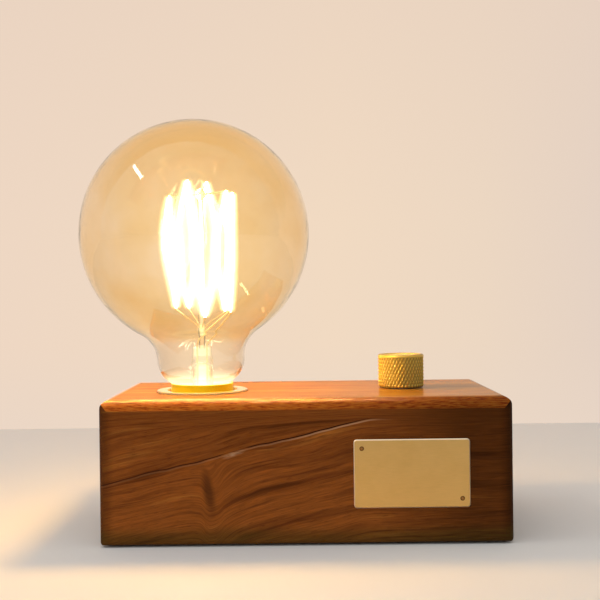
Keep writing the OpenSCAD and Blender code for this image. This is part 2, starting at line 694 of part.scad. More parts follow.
// Knurled drum: rings of 2 x knurl_count points, in and out by turns, then a smooth bevelled top.
// Each four-sided patch is folded along the line between its two low points.
module knurled_drum() {
    columns = 2 * knurl_count;
    rows = floor((knob_h - knob_bevel) / knurl_row);
    step = (knob_h - knob_bevel) / rows;
    r = knob_d / 2;
    rings = concat([for (j = [0:rows]) j * step], [knob_h]);
    points = [for (j = [0:rows + 1], i = [0:columns - 1])
        let (a = 360 * i / columns, knurled = r - ((i + j) % 2 == 0 ? knurl_depth : 0),
             q = j > rows ? r - knob_bevel : j == rows ? r - knurl_depth / 2 : knurled)
        [q * cos(a), q * sin(a), rings[j]]];
    patches = [for (j = [0:rows], i = [0:columns - 1])
        let (a = j * columns + i, b = j * columns + (i + 1) % columns, c = b + columns, d = a + columns)
        each (i + j) % 2 == 0 ? [[a, d, c], [a, c, b]] : [[a, d, b], [d, c, b]]];
    polyhedron(points, concat(patches, [[for (i = [0:columns - 1]) i]],
        [[for (i = [columns - 1:-1:0]) (rows + 1) * columns + i]]));
}

module at_grub() at_knob() translate([0, 0, knob_z + grub_z]) rotate([-90, 0, 0]) children();

module dimmer_knob() color("#c79a45") difference() {
    at_knob() translate([0, 0, knob_z]) knurled_drum();
    at_knob() translate([0, 0, knob_z - cut]) {
        cylinder(d = nut_recess_d, h = nut_recess_h + cut);
        cylinder(d = shaft_d + 2 * knob_bore_gap, h = shaft_in_knob + 0.4 + cut);
    }
    at_knob() translate([0, 0, knob_z + knob_h - dish_depth]) cylinder(d = dish_d, h = dish_depth + cut);
    at_grub() cylinder(d = grub_d, h = knob_d);
}

// Headless screw with a six-sided socket, its end on the shaft
module knob_grub_screw() color("#6d6d6a") at_grub() translate([0, 0, shaft_d / 2]) {
    len = (knob_d - shaft_d) / 2 - knurl_depth - 0.2;
    difference() {
        cylinder(d = grub_d, h = len);
        translate([0, 0, len - 1.5]) cylinder(d = grub_d / 2 / cos(30), h = 1.5 + cut, $fn = 6);
    }
}

module dimmer_shaft() color("#b9bcbd") at_knob() {
    floor_z = housing_z + housing_t + 0.7;
    translate([0, 0, floor_z]) cylinder(d = shaft_d, h = shaft_top_z - floor_z);
    translate([0, 0, floor_z + 1.8]) cylinder(d = wiper_d, h = wiper_t);
}

// ---- dimmer: the pieces that stand still ----

module dimmer_bushing() color("#b9bcbd") at_knob() translate([0, 0, face_z - housing_t])
    ring(bushing_d, shaft_d + 2 * shaft_gap, bushing_top_z - face_z + housing_t);

module dimmer_washer() color("#a9a9a6") at_knob() translate([0, 0, top_z])
    ring(washer_d, bushing_d, washer_t);

module dimmer_nut() color("#a9a9a6") at_knob() translate([0, 0, nut_z]) hex_nut(nut_af, nut_t, bushing_d);

module dimmer_housing() color("#3a3f45") at_knob() translate([0, 0, housing_z]) difference() {
    cylinder(d = housing_d, h = housing_h);
    translate([0, 0, housing_t + 0.5])
        cylinder(d = housing_d - 2 * housing_t, h = housing_h - 2 * housing_t - 0.5);
    translate([0, 0, housing_h - housing_t - cut]) cylinder(d = bushing_d, h = housing_t + 2 * cut);
}

module dimmer_board() color("#1f5a3a") at_knob() translate([0, 0, board_z])
    slab(board_w, board_d, board_t, 1.5);

// A place under the board, with its own Z pointing down
module under_board(x, y) at_knob() translate([x, y, board_z]) mirror([0, 0, 1]) children();

module legs(xs, len) for (x = xs) translate([x - 0.4, -0.3, 0]) cube([0.8, 0.6, len]);

triac_x = 5;
triac_y = 11;
triac_body = [10.2, 4.4, 9];
leg_len = 4;
tab_t = 1.3;

module triac() color("#222222") under_board(triac_x, triac_y) {
    translate([0, -0.5, 0]) legs([-2.54, 0, 2.54], leg_len + 0.5);
    translate([-triac_body[0] / 2, -triac_body[1] + tab_t, leg_len]) cube(triac_body);
    translate([-triac_body[0] / 2, 0, leg_len + triac_body[2]]) cube([triac_body[0], tab_t, 1.2]);
}

sink = [20, 1.6, 15];
fin_t = 1.2;
fin_w = 6;
fin_h = 9.5;

module heat_sink() color("#b4b7b9") under_board(triac_x, triac_y + tab_t) {
    translate([-sink[0] / 2, 0, 0]) cube(sink);
    for (x = [-sink[0] / 2, sink[0] / 2 - fin_t]) translate([x, 1 - fin_w, sink[2] - fin_h])
        cube([fin_t, fin_w, fin_h]);
}

module film_capacitor() color("#b58b2c") under_board(10, 1) {
    legs([-5, 5], 1.5);
    translate([0, 0, 1]) slab(13, 7, 11.5, 1);
}

// Toroid with its winding as one round ring, on two legs
choke_r = 4.9;
winding_d = 5.2;

module choke() color("#a5552a") under_board(9, -10) {
    legs([-choke_r, choke_r], 3);
    translate([0, 0, winding_d / 2 + 2.4]) rotate_extrude() translate([choke_r, 0]) circle(d = winding_d);
}

module fuse() color("#c9c3b0") under_board(-4.5, -1) {
    rotate([0, 0, 90]) legs([-7, 7], 3);
    translate([0, 0, 2.6]) rotate([90, 0, 0]) translate([0, 0, -7.5]) cylinder(d = 4, h = 15);
}

// Four-way block: the leads go in from below
block_x = -13.5;
block_way = 5;
block_way_h = 10;
module terminal_block() color("#2f6fa8") under_board(block_x, 0) difference() {
    translate([-4.5, -2 * block_way, 0]) cube([9, 4 * block_way, block_way_h]);
    for (i = [-1.5:1:1.5]) translate([0, i * block_way, block_way_h - 4]) cylinder(d = 2.6, h = 5);
}

// Where a lead turns up into its own way of the block, y from the block's middle
lead_run_z = cover_top_z + 4;
way_x = knob_x + block_x;
way_z = board_z - block_way_h + 3.5;
function lead_rise(y) = [[way_x - 5, 1.5 * y, lead_run_z + 2], [way_x - 0.8, y, lead_run_z + 7],
    [way_x, y, way_z - 8], [way_x, y, way_z]];

// Two leads from the block, along the front of the hollow and under the strap, to the holder's terminals
module lamp_leads() color("#8c3b2a") {
    z = terminal_top_z - terminal_h - clamp_t - m3_head_h / 2;
    head = clamp_head_d / 2 + 0.05;
    left = [holder_x - terminal_y, holder_y, z];
    right = [holder_x + terminal_y, holder_y, z];
    front = -hollow_d / 2 + 5.5;
    sag = lead_run_z - 1;
    along = way_x - holder_x;
    tube(concat([left - [0, head, 0], left + [0, -head - 3, -0.6], left + [0.5, -head - 6.5, -3.5],
        left + [2.5, -head - 10, -7], [holder_x - 1.5, front + 1, lead_run_z + 1],
        [holder_x + 0.26 * along, front, lead_run_z], [holder_x + 0.5 * along, front + 0.5, sag],
        [holder_x + 0.73 * along, front + 3.5, lead_run_z]], lead_rise(-1.5 * block_way)), inner_lead_d, 8);
    tube(concat([right - [0, head, 0], right + [0.5, -head - 3, -0.6], right + [2, -head - 6.5, -3.5],
        right + [5, -head - 8.5, -7], [holder_x + 0.33 * along, front + 4.5, lead_run_z],
        [holder_x + 0.5 * along, front + 5.5, sag], [holder_x + 0.73 * along, front + 9.5, lead_run_z]],
        lead_rise(-0.5 * block_way)), inner_lead_d, 8);
}

wood_block();
base_plate();
cover_screws();
felt_pad();
name_plate();
plate_pins();
cord_bush();
holder_body();
holder_shell();
centre_contact();
holder_terminals();
terminal_screws();
holder_strap();
holder_screws();
holder_nuts();
bulb_glass();
bulb_stem();
filament();
support_wires();
lead_wires();
cap_shell();
cap_cement();
cap_insulator();
cap_contact();
dimmer_knob();
knob_grub_screw();
dimmer_shaft();
dimmer_bushing();
dimmer_washer();
dimmer_nut();
dimmer_housing();
dimmer_board();
triac();
heat_sink();
film_capacitor();
choke();
fuse();
terminal_block();
lamp_leads();
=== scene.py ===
# Bare bulb table lamp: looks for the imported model. Metres, +X right, +Y back, +Z up.
import math
from functools import partial

import bmesh
import bpy
import numpy as np
from mathutils import Matrix, Vector


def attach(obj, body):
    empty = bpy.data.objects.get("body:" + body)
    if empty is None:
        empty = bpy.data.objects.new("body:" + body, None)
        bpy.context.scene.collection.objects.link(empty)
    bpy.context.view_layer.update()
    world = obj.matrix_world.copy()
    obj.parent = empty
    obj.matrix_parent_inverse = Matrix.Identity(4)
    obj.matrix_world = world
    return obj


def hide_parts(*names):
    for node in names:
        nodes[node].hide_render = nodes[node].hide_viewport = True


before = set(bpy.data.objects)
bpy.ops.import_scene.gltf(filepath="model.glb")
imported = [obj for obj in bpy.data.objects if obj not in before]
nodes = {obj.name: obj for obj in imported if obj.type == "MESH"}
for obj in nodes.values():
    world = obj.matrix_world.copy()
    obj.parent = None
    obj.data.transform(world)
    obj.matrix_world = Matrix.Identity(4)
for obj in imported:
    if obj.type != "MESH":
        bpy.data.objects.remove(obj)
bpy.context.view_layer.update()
print("frame loaded:", len(nodes), "nodes")

mm = 0.001


def hexColour(code):
    # sRGB hex to linear by the standard curve, with an alpha of 1
    parts = [int(code[i:i + 2], 16) / 255 for i in (1, 3, 5)]
    return [p / 12.92 if p <= 0.04045 else ((p + 0.055) / 1.055) ** 2.4 for p in parts] + [1.0]


def addNode(tree, kind, inputs=None, stops=None, points=None, **settings):
    # one node with its settings; an input takes a value, a hex colour, a node, or (node, output)
    node = tree.nodes.new("ShaderNode" + kind)
    for name, value in settings.items():
        setattr(node, name, value)
    if stops:  # colour ramp, as (place, hex) pairs
        elements = node.color_ramp.elements
        while len(elements) < len(stops):
            elements.new(0.5)
        for element, (place, code) in zip(elements, stops):
            element.position = place
            element.color = hexColour(code)
    if points:  # float curve, as (x, y) pairs
        curve = node.mapping.curves[0]
        while len(curve.points) < len(points):
            curve.points.new(0.5, 0.5)
        for point, place in zip(curve.points, points):
            point.location = place
        node.mapping.update()
    for key, value in (inputs or {}).items():
        if isinstance(value, bpy.types.Node):
            value = (value, next(i for i, o in enumerate(value.outputs) if o.enabled))
        if isinstance(value, tuple) and isinstance(value[0], bpy.types.Node):
            tree.links.new(value[0].outputs[value[1]], node.inputs[key])
        else:
            node.inputs[key].default_value = hexColour(value) if isinstance(value, str) else value
    return node


def newMaterial(name):
    # an empty material, addNode for its tree, and its place in millimetres, from Object coordinates
    material = bpy.data.materials.new(name)
    material.use_nodes = True
    material.node_tree.nodes.clear()
    add = partial(addNode, material.node_tree)
    return material, add, add("Mapping", {0: (add("TexCoord"), "Object"), "Scale": (1 / mm, 1 / mm, 1 / mm)})


def dress(material, *names):
    # a CAD node keeps its mesh and gets this material
    for name in names:
        nodes[name].data.materials.clear()
        nodes[name].data.materials.append(material)


def lathe(profile, columns=96):
    # (r, z) turned about Z: x = r cos t, y = r sin t
    t = np.linspace(0, 2 * np.pi, columns, endpoint=False)
    r, z = profile[:, :1], profile[:, 1:]
    return np.stack([r * np.cos(t), r * np.sin(t), np.broadcast_to(z, (len(profile), columns))], -1)


def tubeAlong(path, radius, columns=12, ref=(0, 1, 0)):
    # rings square to the path: p + radius (cos t u + sin t v), closed at both ends by a point
    path = np.asarray(path, float)
    radius = np.broadcast_to(np.asarray(radius, float), len(path))[:, None, None]
    along = np.gradient(path, axis=0)
    along /= np.linalg.norm(along, axis=1, keepdims=True)
    u = np.cross(along, np.asarray(ref, float))
    u /= np.linalg.norm(u, axis=1, keepdims=True)
    v = np.cross(along, u)
    t = np.linspace(0, 2 * np.pi, columns, endpoint=False)[None, :, None]
    rings = path[:, None] + radius * (np.cos(t) * u[:, None] + np.sin(t) * v[:, None])
    ends = np.broadcast_to(path[[0, -1], None], (2, columns, 3))
    return np.concatenate([ends[:1], rings, ends[1:]])


def newPiece(name, grids, body, material, replaced, crease=None):
    # Each grid is (rows, columns, 3) in mm and closed round its columns; a row that is one point closes an end.
    # Edges that turn by more than the crease, in degrees, stay crisp.
    verts, faces, start = [], [], 0
    for grid in grids:
        rows, columns = grid.shape[:2]
        i, k = np.meshgrid(np.arange(rows - 1), np.arange(columns), indexing="ij")
        a, b = i * columns + k, i * columns + (k + 1) % columns
        faces.append(np.stack([a, b, b + columns, a + columns], -1).reshape(-1, 4) + start)
        verts.append(grid.reshape(-1, 3))
        start += rows * columns
    mesh = bpy.data.meshes.new(name)
    mesh.from_pydata((np.concatenate(verts) * mm).tolist(), [], np.concatenate(faces).tolist())
    work = bmesh.new()
    work.from_mesh(mesh)
    bmesh.ops.remove_doubles(work, verts=work.verts, dist=2e-6)
    bmesh.ops.recalc_face_normals(work, faces=work.faces)
    work.to_mesh(mesh)
    work.free()
    mesh.polygons.foreach_set("use_smooth", np.ones(len(mesh.polygons), bool))
    if crease:
        mesh.set_sharp_from_angle(angle=math.radians(crease))
    mesh.materials.append(material)
    piece = bpy.data.objects.new(name, mesh)
    bpy.context.scene.collection.objects.link(piece)
    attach(piece, body)
    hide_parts(*replaced)
    return piece


# the camera stands where the photograph was taken from: place in mm, angles in degrees, lens in mm
view = {"place": (-1.2, -403.9, 94.5), "down": 0.17, "left": 0.07, "roll": -0.66, "lens": 57.6}


def makeCamera():
    # forward from pitch and yaw, then right and up turned by the roll
    pitch, yaw, roll = math.radians(view["down"]), -math.radians(view["left"]), math.radians(view["roll"])
    forward = Vector((math.sin(yaw) * math.cos(pitch), math.cos(yaw) * math.cos(pitch), -math.sin(pitch)))
    right = Vector((math.cos(yaw), -math.sin(yaw), 0))
    up = right.cross(forward)
    right, up = right * math.cos(roll) + up * math.sin(roll), up * math.cos(roll) - right * math.sin(roll)
    data = bpy.data.cameras.new("camera")
    data.lens, data.sensor_width, data.sensor_fit = view["lens"], 36, "HORIZONTAL"
    data.clip_start, data.clip_end = 0.01, 50
    camera = bpy.data.objects.new("camera", data)
    bpy.context.scene.collection.objects.link(camera)
    turn = Matrix((right, up, -forward)).transposed().to_4x4()
    camera.matrix_world = Matrix.Translation(Vector(view["place"]) * mm) @ turn
    bpy.context.scene.camera = camera


makeCamera()
print("camera made")

# colours run from dark to light; sizes and places, as (x, z), are in mm
woodLook = {
    # the top's browns are painted lighter than the side's, for the bulb's light on them
    "side": ("#582d10", "#864a1c", "#a8692b"), "top": ("#985818", "#a86f1c", "#c08830"),
    # the edge's oranges are painted light from the bulb, and the stain is partly painted shade
    "edge": ("#8a3208", "#b85c16", "#cc7a26"), "line": "#40200d", "stain": "#463814",
    "knotDip": 6.0, "heart": "#3f230f", "heartAt": (-37.2, 21.0), "heartHalf": (2.1, 8.0), "heartLean": 0.16,
    "crack": "#2c130a", "crackWidth": 0.2, "crackDepth": 0.3, "wander": 0.7, "lip": "#b98d68", "lipBelow": 0.62,
    "chafe": "#b08a66", "chafeAt": (-27.6, 35.12), "chafeHalf": (4.2, 1.0), "chafeSlope": 0.3,
    "roughness": 0.5, "specular": 0.02, "rubbedRoughness": 0.33, "rubbedGloss": (1.0, 0.05),
    "glossTint": "#ffc468", "coatFront": 0.05, "coatTop": (0.22, 0.5), "coatEdge": 0.08, "coatRoughness": 0.2,
}


def faceMasks(add, z):
    # From the face's own normal, each 0 to 1: upness for top and bottom, topness, endness, the rounded upper
    # edge, and rubbed, the part of that edge that looks upwards. The last two rise and fall over four limits.
    normal = add("SeparateXYZ", {0: (add("NewGeometry"), "True Normal")})
    endways, upright = (add("Math", {0: (normal, k)}, operation="ABSOLUTE") for k in (0, 2))
    upness, topness, endness = (add("MapRange", {0: way, 1: 0.6, 2: 0.85, 3: 0.0, 4: 1.0})
                                for way in (upright, (normal, 2), endways))
    high = add("MapRange", {0: z, 1: 50.0, 2: 51.0, 3: 0.0, 4: 1.0})
    rounds = []
    for way, limits in ((upright, (0.02, 0.12, 0.9, 0.995)), ((normal, 2), (0.6, 0.75, 0.985, 0.999))):
        rise = add("MapRange", {0: way, 1: limits[0], 2: limits[1], 3: 0.0, 4: 1.0})
        fall = add("MapRange", {0: way, 1: limits[2], 2: limits[3], 3: 1.0, 4: 0.0})
        both = add("Math", {0: rise, 1: fall}, operation="MULTIPLY")
        rounds.append(add("Math", {0: both, 1: high}, operation="MULTIPLY"))
    return upness, topness, endness, *rounds


def crackRise(add, x):
    # x as a share of 160 mm, and the height of the crack there: 60 mm times a curve, up to 48.5 mm at its end
    share = add("MapRange", {0: x, 1: -80.0, 2: 80.0, 3: 0.0, 4: 1.0})
    rise = add("FloatCurve", {"Value": share}, points=[
        (0.0, 0.385), (0.141, 0.483), (0.264, 0.555), (0.337, 0.613), (0.424, 0.663), (0.486, 0.698),
        (0.557, 0.746), (0.633, 0.795), (0.709, 0.808), (1.0, 0.83)])
    return share, add("Math", {0: rise, 1: 60.0}, operation="MULTIPLY")


def knotPull(add, x, y, z):
    # 1 at the knot, x = -35: it fades steeply to the left, slowly to the right, above z = 22 and away from the front
    off = add("MapRange", {0: x, 1: -60.0, 2: 0.0, 3: 0.0, 4: 1.0})
    bell = add("FloatCurve", {"Value": off}, points=[
        (0.0, 0.0), (0.22, 0.02), (0.31, 0.2), (0.37, 0.8), (0.41, 1.0), (0.48, 0.72), (0.6, 0.36), (0.78, 0.1),
        (1.0, 0.0)])
    low = add("MapRange", {0: z, 1: 22.0, 2: 34.0, 3: 1.0, 4: 0.0}, interpolation_type="SMOOTHSTEP")
    front = add("MapRange", {0: y, 1: -40.0, 2: -15.0, 3: 1.0, 4: 0.0}, interpolation_type="SMOOTHSTEP")
    knot = add("Math", {0: bell, 1: low}, operation="MULTIPLY")
    return add("Math", {0: knot, 1: front}, operation="MULTIPLY"), front


def plankGrain(add, place, x, y, z, crackZ, knot, upness, endness):
    # Where a point lies in the plank, as (along, across, line), chosen by its face. A front's line is its height
    # above the crack plus the knot's dip, less steep near the top; a top's line is y; an end's line is the distance
    # from the tree's heart, at y = -12 and 46 mm below the crack. All sway by 2 mm.
    dip = add("Math", {0: knot, 1: woodLook["knotDip"]}, operation="MULTIPLY")
    follow = add("MapRange", {0: z, 1: 56.0, 2: 44.0, 3: 0.45, 4: 0.95}, interpolation_type="SMOOTHSTEP")
    rise = add("Math", {0: crackZ, 1: follow}, operation="MULTIPLY")
    level = add("Math", {0: z, 1: rise}, operation="SUBTRACT")
    level = add("Math", {0: level, 1: dip}, operation="ADD")
    ringY = add("Math", {0: y, 1: 12.0}, operation="ADD")
    ringZ = add("Math", {0: level, 1: 46.0}, operation="ADD")
    ring = add("VectorMath", {0: add("CombineXYZ", {0: ringY, 1: ringZ, 2: 0.0})}, operation="LENGTH")
    waves = add("TexNoise", {"Vector": add("Mapping", {0: place, "Scale": (0.025, 0.05, 0.05)}),
                             "Scale": 1.0, "Detail": 2.0})
    sway = add("MapRange", {0: waves, 1: 0.0, 2: 1.0, 3: -2.0, 4: 2.0})
    line, topLine, endLine = (add("Math", {0: height, 1: sway}, operation="ADD")
                              for height in (level, y, (ring, "Value")))
    slowY, slowZ, quickY = (add("Math", {0: way, 1: times}, operation="MULTIPLY")
                            for way, times in ((y, 0.25), (z, 0.25), (y, 3.0)))
    front = add("CombineXYZ", {0: x, 1: slowY, 2: line})
    top = add("CombineXYZ", {0: x, 1: slowZ, 2: topLine})
    end = add("CombineXYZ", {0: quickY, 1: z, 2: endLine})
    grain = add("Mix", {0: upness, 4: front, 5: top}, data_type="VECTOR")
    return add("Mix", {0: endness, 4: grain, 5: end}, data_type="VECTOR"), sway


def sideShade(add, colour, x, z, sway):
    # the front and the ends: heartwood darkens them to the right, painted shade darkens the upright corners, they
    # are lighter low down, and the last 6 mm above the table turn a dull green brown, partly stain, partly painted
    # shade
    drift = add("Math", {0: sway, 1: 2.0, 2: x}, operation="MULTIPLY_ADD")
    heartwood = add("MapRange", {0: drift, 1: 14.0, 2: 66.0, 3: 1.0, 4: 0.38}, interpolation_type="SMOOTHSTEP")
    # lighter low down: 1.15 times at 12 mm, falling to 0.84 times at 50 mm
    lighterLow = add("MapRange", {0: z, 1: 12.0, 2: 50.0, 3: 1.15, 4: 0.84})
    # painted shade: the wood darkens to 0.45 times from 72.5 to 78.5 mm out, at the upright corners and over the ends
    cornerShade = add("MapRange", {0: add("Math", {0: x}, operation="ABSOLUTE"), 1: 72.5, 2: 78.5, 3: 1.0, 4: 0.45},
                 interpolation_type="SMOOTHSTEP")
    for shade in (heartwood, lighterLow, cornerShade):
        colour = add("Mix", {0: 1.0, 6: colour, 7: shade}, data_type="RGBA", blend_type="MULTIPLY")
    # partly stain and partly painted shade: the last 6 mm above the table darken to a dull green brown
    low = add("Math", {0: z, 1: sway}, operation="ADD")
    stain = add("MapRange", {0: low, 1: 3.0, 2: 9.0, 3: 0.62, 4: 0.0}, interpolation_type="SMOOTHSTEP")
    return add("Mix", {0: stain, 6: colour, 7: woodLook["stain"]}, data_type="RGBA")


def ovalAway(add, x, z, at, half, lean=0.0, slope=0.0):
    # distance from an oval's middle, 1 at its rim: the length of ((dx + lean dz) / halfX, (dz - slope dx) / halfZ)
    off = add("CombineXYZ", {0: add("Math", {0: x, 1: at[0]}, operation="SUBTRACT"),
                             1: add("Math", {0: z, 1: at[1]}, operation="SUBTRACT"), 2: 0.0})
    across, up = ((add("VectorMath", {0: off, 1: row}, operation="DOT_PRODUCT"), "Value")
                  for row in ((1 / half[0], lean / half[0], 0), (-slope / half[1], 1 / half[1], 0)))
    return add("VectorMath", {0: add("CombineXYZ", {0: across, 1: up, 2: 0.0})}, operation="LENGTH"), "Value"


def crackMasks(add, place, share, z, crackZ, face):
    # The dark groove and the pale lip below it: 1 within 0.6 of the crack's width, fading to 0 at 1.5 and 2.1 times
    # it. Both wander up and down, and each shows on its own stretch, as a curve over the share of the width.
    groovePoints = [(0.0, 0.75), (0.29, 0.8), (0.31, 0.3), (0.35, 0.3), (0.37, 0.9), (0.56, 1.0), (0.64, 0.5),
                    (0.72, 0.0), (1.0, 0.0)]
    lipPoints = [(0.0, 0.1), (0.3, 0.25), (0.42, 0.4), (0.5, 0.8), (0.6, 0.95), (0.66, 0.5), (0.72, 0.0), (1.0, 0.0)]
    drift = add("TexNoise", {"Vector": add("Mapping", {0: place, "Scale": (0.09, 0.0, 0.0)}),
                             "Scale": 1.0, "Detail": 1.0})
    drift = add("MapRange", {0: drift, 1: 0.0, 2: 1.0, 3: -woodLook["wander"], 4: woodLook["wander"]})
    gap = add("Math", {0: add("Math", {0: z, 1: crackZ}, operation="SUBTRACT"), 1: drift}, operation="ADD")
    masks = []
    for below, far, most, points in ((0.0, 1.5, 1.0, groovePoints), (woodLook["lipBelow"], 2.1, 0.75, lipPoints)):
        off = add("Math", {0: add("Math", {0: gap, 1: below}, operation="ADD")}, operation="ABSOLUTE")
        mask = add("MapRange", {0: off, 1: woodLook["crackWidth"] * 0.6, 2: woodLook["crackWidth"] * far,
                                3: most, 4: 0.0})
        for shown in (face, add("FloatCurve", {"Value": share}, points=points)):
            mask = add("Math", {0: mask, 1: shown}, operation="MULTIPLY")
        masks.append(mask)
    return masks


def lacqueredRosewood():
    # Rosewood: red-brown long grain with fine dark lines and short pores, under a clear gloss lacquer.
    # The block is cut from one plank, so the lines run along X; on the front they rise to the right
    # and dip at one small knot, where an old crack starts.
    material, add, place = newMaterial("lacquered rosewood")
    xyz = add("SeparateXYZ", {0: place})
    x, y, z = ((xyz, k) for k in range(3))
    upness, topness, endness, edge, rubbed = faceMasks(add, z)
    share, crackZ = crackRise(add, x)
    knot, front = knotPull(add, x, y, z)
    grain, sway = plankGrain(add, place, x, y, z, crackZ, knot, upness, endness)
    # broad bands 6 mm apart, lines 1.2 mm, fibres 0.5 mm and pores 0.5 by 4 mm; on the rounded edge the pores are
    # cut along and show as short flecks
    bands, lines, fibres, pores, flecks = (add("TexNoise", {
        "Vector": add("Mapping", {0: way, "Scale": scale}), "Scale": 1.0, "Detail": detail, "Roughness": rough})
        for way, scale, detail, rough in (
            (grain, (0.011, 0.03, 0.16), 3.0, 0.55), (grain, (0.02, 0.1, 0.8), 5.0, 0.65),
            (grain, (0.09, 0.4, 2.1), 3.0, 0.65), (grain, (0.22, 1.2, 2.9), 2.0, 0.5),
            (place, (0.26, 2.2, 2.2), 3.0, 0.6)))
    # the top takes lighter, more orange browns than the front and ends: painted light from the bulb over the wood's
    # own colour
    sideColour, litTopColour = (add("ValToRGB", {0: bands}, stops=[(0.3, dark), (0.47, mid), (0.6, mid), (0.72, light)])
                             for dark, mid, light in (woodLook["side"], woodLook["top"]))
    colour = add("Mix", {0: topness, 6: sideShade(add, sideColour, x, z, sway), 7: litTopColour}, data_type="RGBA")
    # dark lines and pores, weaker on the top, and the lines weaker round the knot too
    lineCut = add("MapRange", {0: lines, 1: 0.34, 2: 0.5, 3: 0.6, 4: 0.0})
    poreCut = add("MapRange", {0: pores, 1: 0.62, 2: 0.7, 3: 0.0, 4: 0.6})
    knotLines, topLines, topPores = (add("MapRange", {0: mask, 1: 0.0, 2: 1.0, 3: 1.0, 4: least})
                                     for mask, least in ((knot, 0.45), (topness, 0.35), (topness, 0.25)))
    lineCut = add("Math", {0: lineCut, 1: knotLines}, operation="MULTIPLY")
    lineCut = add("Math", {0: lineCut, 1: topLines}, operation="MULTIPLY")
    poreCut = add("Math", {0: poreCut, 1: topPores}, operation="MULTIPLY")
    fibreCut = add("MapRange", {0: fibres, 1: 0.35, 2: 0.65, 3: 0.75, 4: 1.22})
    colour = add("Mix", {0: lineCut, 6: colour, 7: woodLook["line"]}, data_type="RGBA")
    colour = add("Mix", {0: 1.0, 6: colour, 7: fibreCut}, data_type="RGBA", blend_type="MULTIPLY")
    colour = add("Mix", {0: poreCut, 6: colour, 7: woodLook["line"]}, data_type="RGBA")
    # the rounded upper edge is cut through the grain, which gives its red-brown flecks; its bright orange brown is
    # painted light from the bulb, painted duller to the right as that light falls off
    litEdgeColour = add("ValToRGB", {0: flecks}, stops=list(zip((0.34, 0.48, 0.68), woodLook["edge"])))
    edgeLightFalloff = add("MapRange", {0: x, 1: -30.0, 2: 60.0, 3: 1.0, 4: 0.42})
    litEdgeColour = add("Mix", {0: 1.0, 6: litEdgeColour, 7: edgeLightFalloff}, data_type="RGBA", blend_type="MULTIPLY")
    colour = add("Mix", {0: edge, 6: colour, 7: litEdgeColour}, data_type="RGBA")
    # the knot's dark heart, then the crack on the front face, and the chafed spot where crack and knot meet
    heart = add("MapRange", {0: ovalAway(add, x, z, woodLook["heartAt"], woodLook["heartHalf"],
                                         lean=woodLook["heartLean"]), 1: 0.3, 2: 1.4, 3: 0.7, 4: 0.0},
                interpolation_type="SMOOTHSTEP")
    heart = add("Math", {0: heart, 1: front}, operation="MULTIPLY")
    face = add("MapRange", {0: y, 1: -39.0, 2: -38.5, 3: 1.0, 4: 0.0})
    groove, lip = crackMasks(add, place, share, z, crackZ, face)
    chafe = add("MapRange", {0: ovalAway(add, x, z, woodLook["chafeAt"], woodLook["chafeHalf"],
                                         slope=woodLook["chafeSlope"]), 1: 0.4, 2: 1.2, 3: 1.0, 4: 0.0})
    for mask in (face, add("MapRange", {0: flecks, 1: 0.42, 2: 0.6, 3: 0.15, 4: 0.85})):
        chafe = add("Math", {0: chafe, 1: mask}, operation="MULTIPLY")
    for mask, key in ((heart, "heart"), (lip, "lip"), (groove, "crack"), (chafe, "chafe")):
        colour = add("Mix", {0: mask, 6: colour, 7: woodLook[key]}, data_type="RGBA")
    # fibres and pores stand a few hundredths of a millimetre, and the crack is three tenths deep
    relief = add("Math", {0: fibres, 1: 0.05}, operation="MULTIPLY")
    for mask, deep in ((poreCut, 0.06), (groove, woodLook["crackDepth"])):
        relief = add("Math", {0: mask, 1: -deep, 2: relief}, operation="MULTIPLY_ADD")
    bump = add("Bump", {"Strength": 0.7, "Distance": mm, "Height": relief})
    # the lacquer is thin on the front and thickens to the right on the top; the rounded edge was rubbed down along
    # its length, glossier to the left, and its fine scratches draw the lamp's reflection out into a long streak
    topCoat, edgeGloss = (add("MapRange", {0: x, 1: low, 2: high, 3: woodLook[key][0], 4: woodLook[key][1]})
                          for key, low, high in (("coatTop", -20.0, 60.0), ("rubbedGloss", 0.0, 40.0)))
    coat = add("Mix", {0: topness, 2: woodLook["coatFront"], 3: topCoat}, data_type="FLOAT")
    coat = add("Mix", {0: edge, 2: coat, 3: woodLook["coatEdge"]}, data_type="FLOAT")
    gloss = add("Mix", {0: rubbed, 2: woodLook["specular"], 3: edgeGloss}, data_type="FLOAT")
    rough = add("Mix", {0: rubbed, 2: woodLook["roughness"], 3: woodLook["rubbedRoughness"]}, data_type="FLOAT")
    shader = add("BsdfPrincipled", {
        "Base Color": colour, "Roughness": rough, "Specular IOR Level": gloss, "Specular Tint": woodLook["glossTint"],
        "Anisotropic": rubbed, "Anisotropic Rotation": 0.25,
        "Tangent": add("Tangent", direction_type="RADIAL", axis="X"),
        "Normal": bump, "Coat Weight": coat, "Coat Roughness": woodLook["coatRoughness"]})
    add("OutputMaterial", {0: shader})
    return material


dress(lacqueredRosewood(), "wood_block")
print("wood done")


